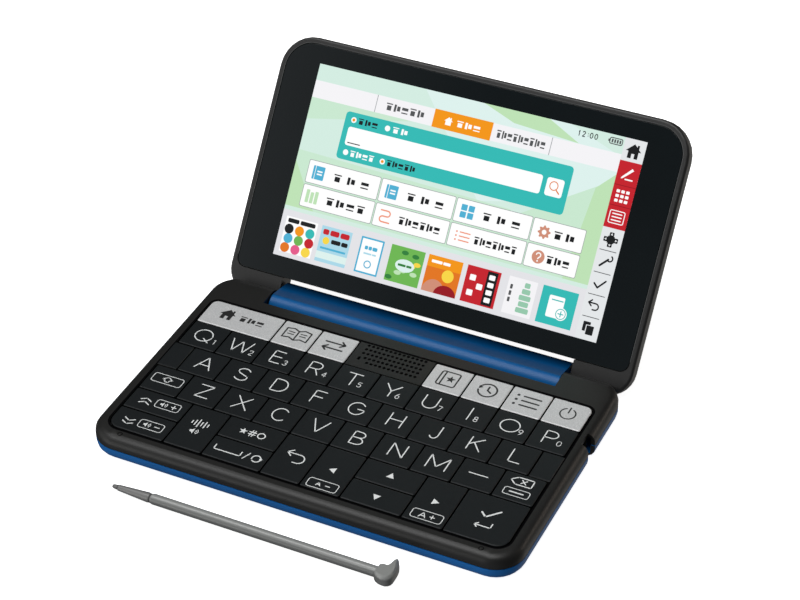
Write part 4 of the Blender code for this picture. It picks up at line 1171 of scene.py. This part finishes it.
def make_screws():
    """Cross-slotted screw heads at the bottom of the four recesses under the base."""
    drawing = Drawing(Matrix.Translation((0, 0, SCREW_LEVEL)) @ Matrix.Rotation(math.pi, 4, "X"))
    for x in (-SCREW_X, SCREW_X):
        for y in SCREW_YS:
            Pen(drawing, STEEL, x, -y).disc(0, 0, SCREW_RADIUS)
            # Painted shade: each cross slot is a black mark on the head
            Pen(drawing, SHADE_BLACK, x, -y).plus(0, 0, 2 * SCREW_SLOT, SCREW_SLOT_WIDTH)
    drawing.finished("screw_heads", "base")


def make_apron():
    """Dark strip on the rear wall of the base, which closes the slot in front of the link; its black is
    painted shade for the slot.
    """
    bm = bmesh.new()
    loft(bm, [[(x, y, z) for y, z in APRON_OUTLINE] for x in (-APRON_HALF, APRON_HALF)])
    bmesh.ops.recalc_face_normals(bm, faces=bm.faces)
    shade(make_piece("hinge_apron", bm, "base", [INNER_AND_SHADE_BLACK]), 0.1)


def paint_glass_rim_highlight():
    """Painted highlight: a thin bright line beside the glass, where its chamfer catches the light, up both
    sides and over the top.
    """
    drawing = Drawing(lid_plane() @ Matrix.Translation((0, 0, LID_TOP - GLASS_TOP)))
    half, high, radius = GLASS_RIM_HALF, GLASS_RIM_HIGH, GLASS_RIM_CORNER
    path = [(-half, GLASS_RIM_LOW)] + arc(radius - half, high - radius, radius, 180, 90, 12)
    path += arc(half - radius, high - radius, radius, 90, 0, 12) + [(half, GLASS_RIM_LOW)]
    Pen(drawing, RIM_HIGHLIGHT).line(path, GLASS_RIM_WIDTH)
    drawing.finished("glass_rim_highlight", "lid")


def cover_paint(centre):
    """Material of a face of the bottom cover: rubber on the four feet, and black in the stylus recess as
    painted shade.
    """
    if centre.z < FOOT_TOP:
        return 1
    across = RECESS_X < centre.x < RECESS_OUTSIDE and centre.z > RECESS_LOW
    return 2 if across and abs(centre.y - RECESS_Y) < RECESS_HALF else 0


def frame_paint(centre):
    """Material of a face of the key frame: the blank fillers look like keys."""
    raised = centre.z > FRAME_TOP + FILLER_RISE and abs(centre.x) > FILLER_X
    return 1 if raised and abs(centre.y - FILLER_Y) < FILLER_HALF else 0


def stylus_paint(centre):
    """Material of a face of the stylus barrel: its cone is a shade darker, and the groove behind it dark,
    both as painted shade.
    """
    if centre.x < STYLUS_RING_X - STYLUS_RING_HALF:
        return 2
    return 1 if centre.x < STYLUS_RING_X + STYLUS_RING_HALF else 0


def make_shells():
    """Finely edged copies of the rigid solids that show."""
    refined("bottom_cover", [COVER_BLUE, RUBBER, INNER_AND_SHADE_BLACK], 0.15, cover_paint)
    refined("key_frame", [FRAME_BLACK, KEY_BLACK], 0.12, frame_paint, merge=False)
    refined("lid_housing", [LID_GREY], 0.15)
    refined("hinge_bar", [LINK_BLUE], 0.15)
    refined("lid_glass", [GLASS], 0.08)
    refined("stylus_barrel", [STYLUS_GREY, STYLUS_GROOVE_SHADE, CONE_SHADE_GREY], 0.08, stylus_paint)
    refined("stylus_tip", [NIB_GREY], 0.05)


def mark_filler_edges():
    """Painted shade: a dark line for the groove between each blank filler and the frame's rim."""
    drawing = Drawing(key_plane(FRAME_TOP))
    for side in (-1, 1):
        Pen(drawing, SHADE_BLACK, side * FILLER_GROOVE_X, FILLER_Y).box(
            -FILLER_GROOVE / 2, -FILLER_HALF, FILLER_GROOVE / 2, FILLER_HALF)
    drawing.finished("filler_groove_shade", "base")


def mark_shadow_lines():
    """Dark rims of the key window and of the two pips in front of the keys."""
    drawing = Drawing(key_plane(FRAME_TOP))
    pen = Pen(drawing, SHADE_BLACK)
    inset = WINDOW_SHADOW / 2
    corners = [WINDOW_FRONT_CORNER + inset] * 2 + [WINDOW_REAR_CORNER + inset] * 2
    pen.line(rounded(-WINDOW_HALF - inset, WINDOW_FRONT - inset, WINDOW_HALF + inset, WINDOW_REAR + inset,
                     corners, 8), WINDOW_SHADOW, closed=True)
    for side in (-1, 1):
        pen.ring(side * PIP_X, PIP_Y, PIP_RING, PIP_STROKE, 16)
    drawing.finished("window_shadow", "base")


def mark_holes():
    """Painted shade: dark rims of the grille's holes, in five rows with the two in front shorter, and of
    the slot beside them.
    """
    drawing = Drawing(key_plane(FRAME_TOP))
    pen = Pen(drawing, SHADE_BLACK)
    left, right, front, rear = GRILLE
    first_x, first_y = left + HOLE_SIDE_MARGIN, rear - HOLE_REAR_MARGIN
    pitch = (right - HOLE_SIDE_MARGIN - first_x) / (HOLE_COLUMNS - 1)
    row_pitch = (first_y - front - HOLE_FRONT_MARGIN) / (HOLE_ROWS - 1)
    for row in range(HOLE_ROWS):
        for column in range(max(0, row - 2), HOLE_COLUMNS):
            pen.ring(first_x + column * pitch, first_y - row * row_pitch, HOLE_RADIUS + HOLE_RING / 2,
                     HOLE_RING, 10)
    slot_left, slot_front, slot_edge = HOLE_SLOT
    pen.at(first_x, first_y - 3 * row_pitch).line(
        [(slot_left, slot_edge), (slot_edge, slot_edge), (slot_edge, slot_front), (slot_left, slot_front)],
        HOLE_RING, closed=True)
    drawing.finished("grille_hole_shade", "base")


def finish_inner_solids():
    """Finishes of the solids that stay as they are."""
    finishes = {"speaker_grille": FRAME_BLACK, "keypad_sheet": SILICONE, "main_board": BOARD,
                "speaker": INNER_AND_SHADE_BLACK, "stylus_holder": INNER_AND_SHADE_BLACK, "display_panel": UI["pale_green"]}
    for node, source in frame["nodes"].items():
        if node.startswith("key_") and node != "key_frame":
            finishes[node] = KEY_SILVER if node[4:] in SILVER_KEYS else KEY_BLACK
        if node in finishes:
            for entry in source.material_slots:
                entry.material = finishes[node]


def make_floor():
    """Plain white floor just under the feet."""
    level = cad_box[0][2] - FLOOR_GAP
    corners = [(x * FLOOR_HALF, y * FLOOR_HALF, level) for x, y in ((-1, -1), (1, -1), (1, 1), (-1, 1))]
    mesh = bpy.data.meshes.new("floor")
    mesh.from_pydata(corners, [], [(0, 1, 2, 3)])
    white = finish("floor white", (0.9, 0.9, 0.9), 0.8, grain=200, bump=0.0, spread=0.005, specular=0.0)
    shader = white.node_tree.nodes["Principled BSDF"]
    shader.inputs["Emission Color"].default_value = (1, 1, 1, 1)
    shader.inputs["Emission Strength"].default_value = FLOOR_GLOW
    mesh.materials.append(white)
    floor = bpy.data.objects.new("floor", mesh)
    floor.visible_diffuse = False
    floor.visible_glossy = False
    bpy.context.scene.collection.objects.link(floor)


def make_surroundings():
    """Dim room with soft bright cards."""
    world = bpy.data.worlds.new("studio")
    world.use_nodes = True
    tree = world.node_tree
    place = tree.nodes.new("ShaderNodeTexCoord").outputs["Generated"]
    total = add_node(tree, "ShaderNodeRGB").outputs[0]
    total.default_value = (ROOM_LIGHT, ROOM_LIGHT, ROOM_LIGHT, 1)
    for direction, color, start, end in CARDS:
        facing = add_node(tree, "ShaderNodeVectorMath", operation="DOT_PRODUCT")
        tree.links.new(place, facing.inputs[0])
        facing.inputs[1].default_value = Vector(direction).normalized()
        edge = [math.cos(math.radians(angle)) for angle in (end, start)]
        adding = add_node(tree, "ShaderNodeVectorMath", operation="MULTIPLY_ADD")
        adding.inputs[0].default_value = color
        tree.links.new(ranged(tree, facing.outputs["Value"], 0, 1, *edge), adding.inputs[1])
        tree.links.new(total, adding.inputs[2])
        total = adding.outputs[0]
    tree.links.new(total, tree.nodes["Background"].inputs["Color"])
    bpy.context.scene.world = world


def make_lamp():
    """Soft lamp overhead, turned to the object."""
    data = bpy.data.lights.new("overhead", "AREA")
    data.shape = "RECTANGLE"
    data.size, data.size_y = LAMP_SIZES
    data.energy = LAMP_POWER
    light = bpy.data.objects.new("overhead", data)
    light.location = LAMP_PLACE
    light.rotation_euler = (-Vector(LAMP_PLACE)).to_track_quat("-Z", "Y").to_euler()
    bpy.context.scene.collection.objects.link(light)


def place_camera():
    data = bpy.data.cameras.new("camera")
    data.sensor_width = CAMERA_SENSOR
    data.sensor_fit = "HORIZONTAL"
    data.lens = CAMERA_LENS
    camera = bpy.data.objects.new("camera", data)
    camera.location = CAMERA_PLACE
    camera.rotation_euler = CAMERA_TURN
    bpy.context.scene.collection.objects.link(camera)
    bpy.context.scene.camera = camera


bpy.context.scene.view_settings.view_transform = "Standard"
place_camera()
make_floor()
make_surroundings()
make_lamp()
make_shells()
mark_filler_edges()
mark_shadow_lines()
make_screws()
make_apron()
paint_glass_rim_highlight()
mark_holes()
make_keyboard()
make_screen()
finish_inner_solids()
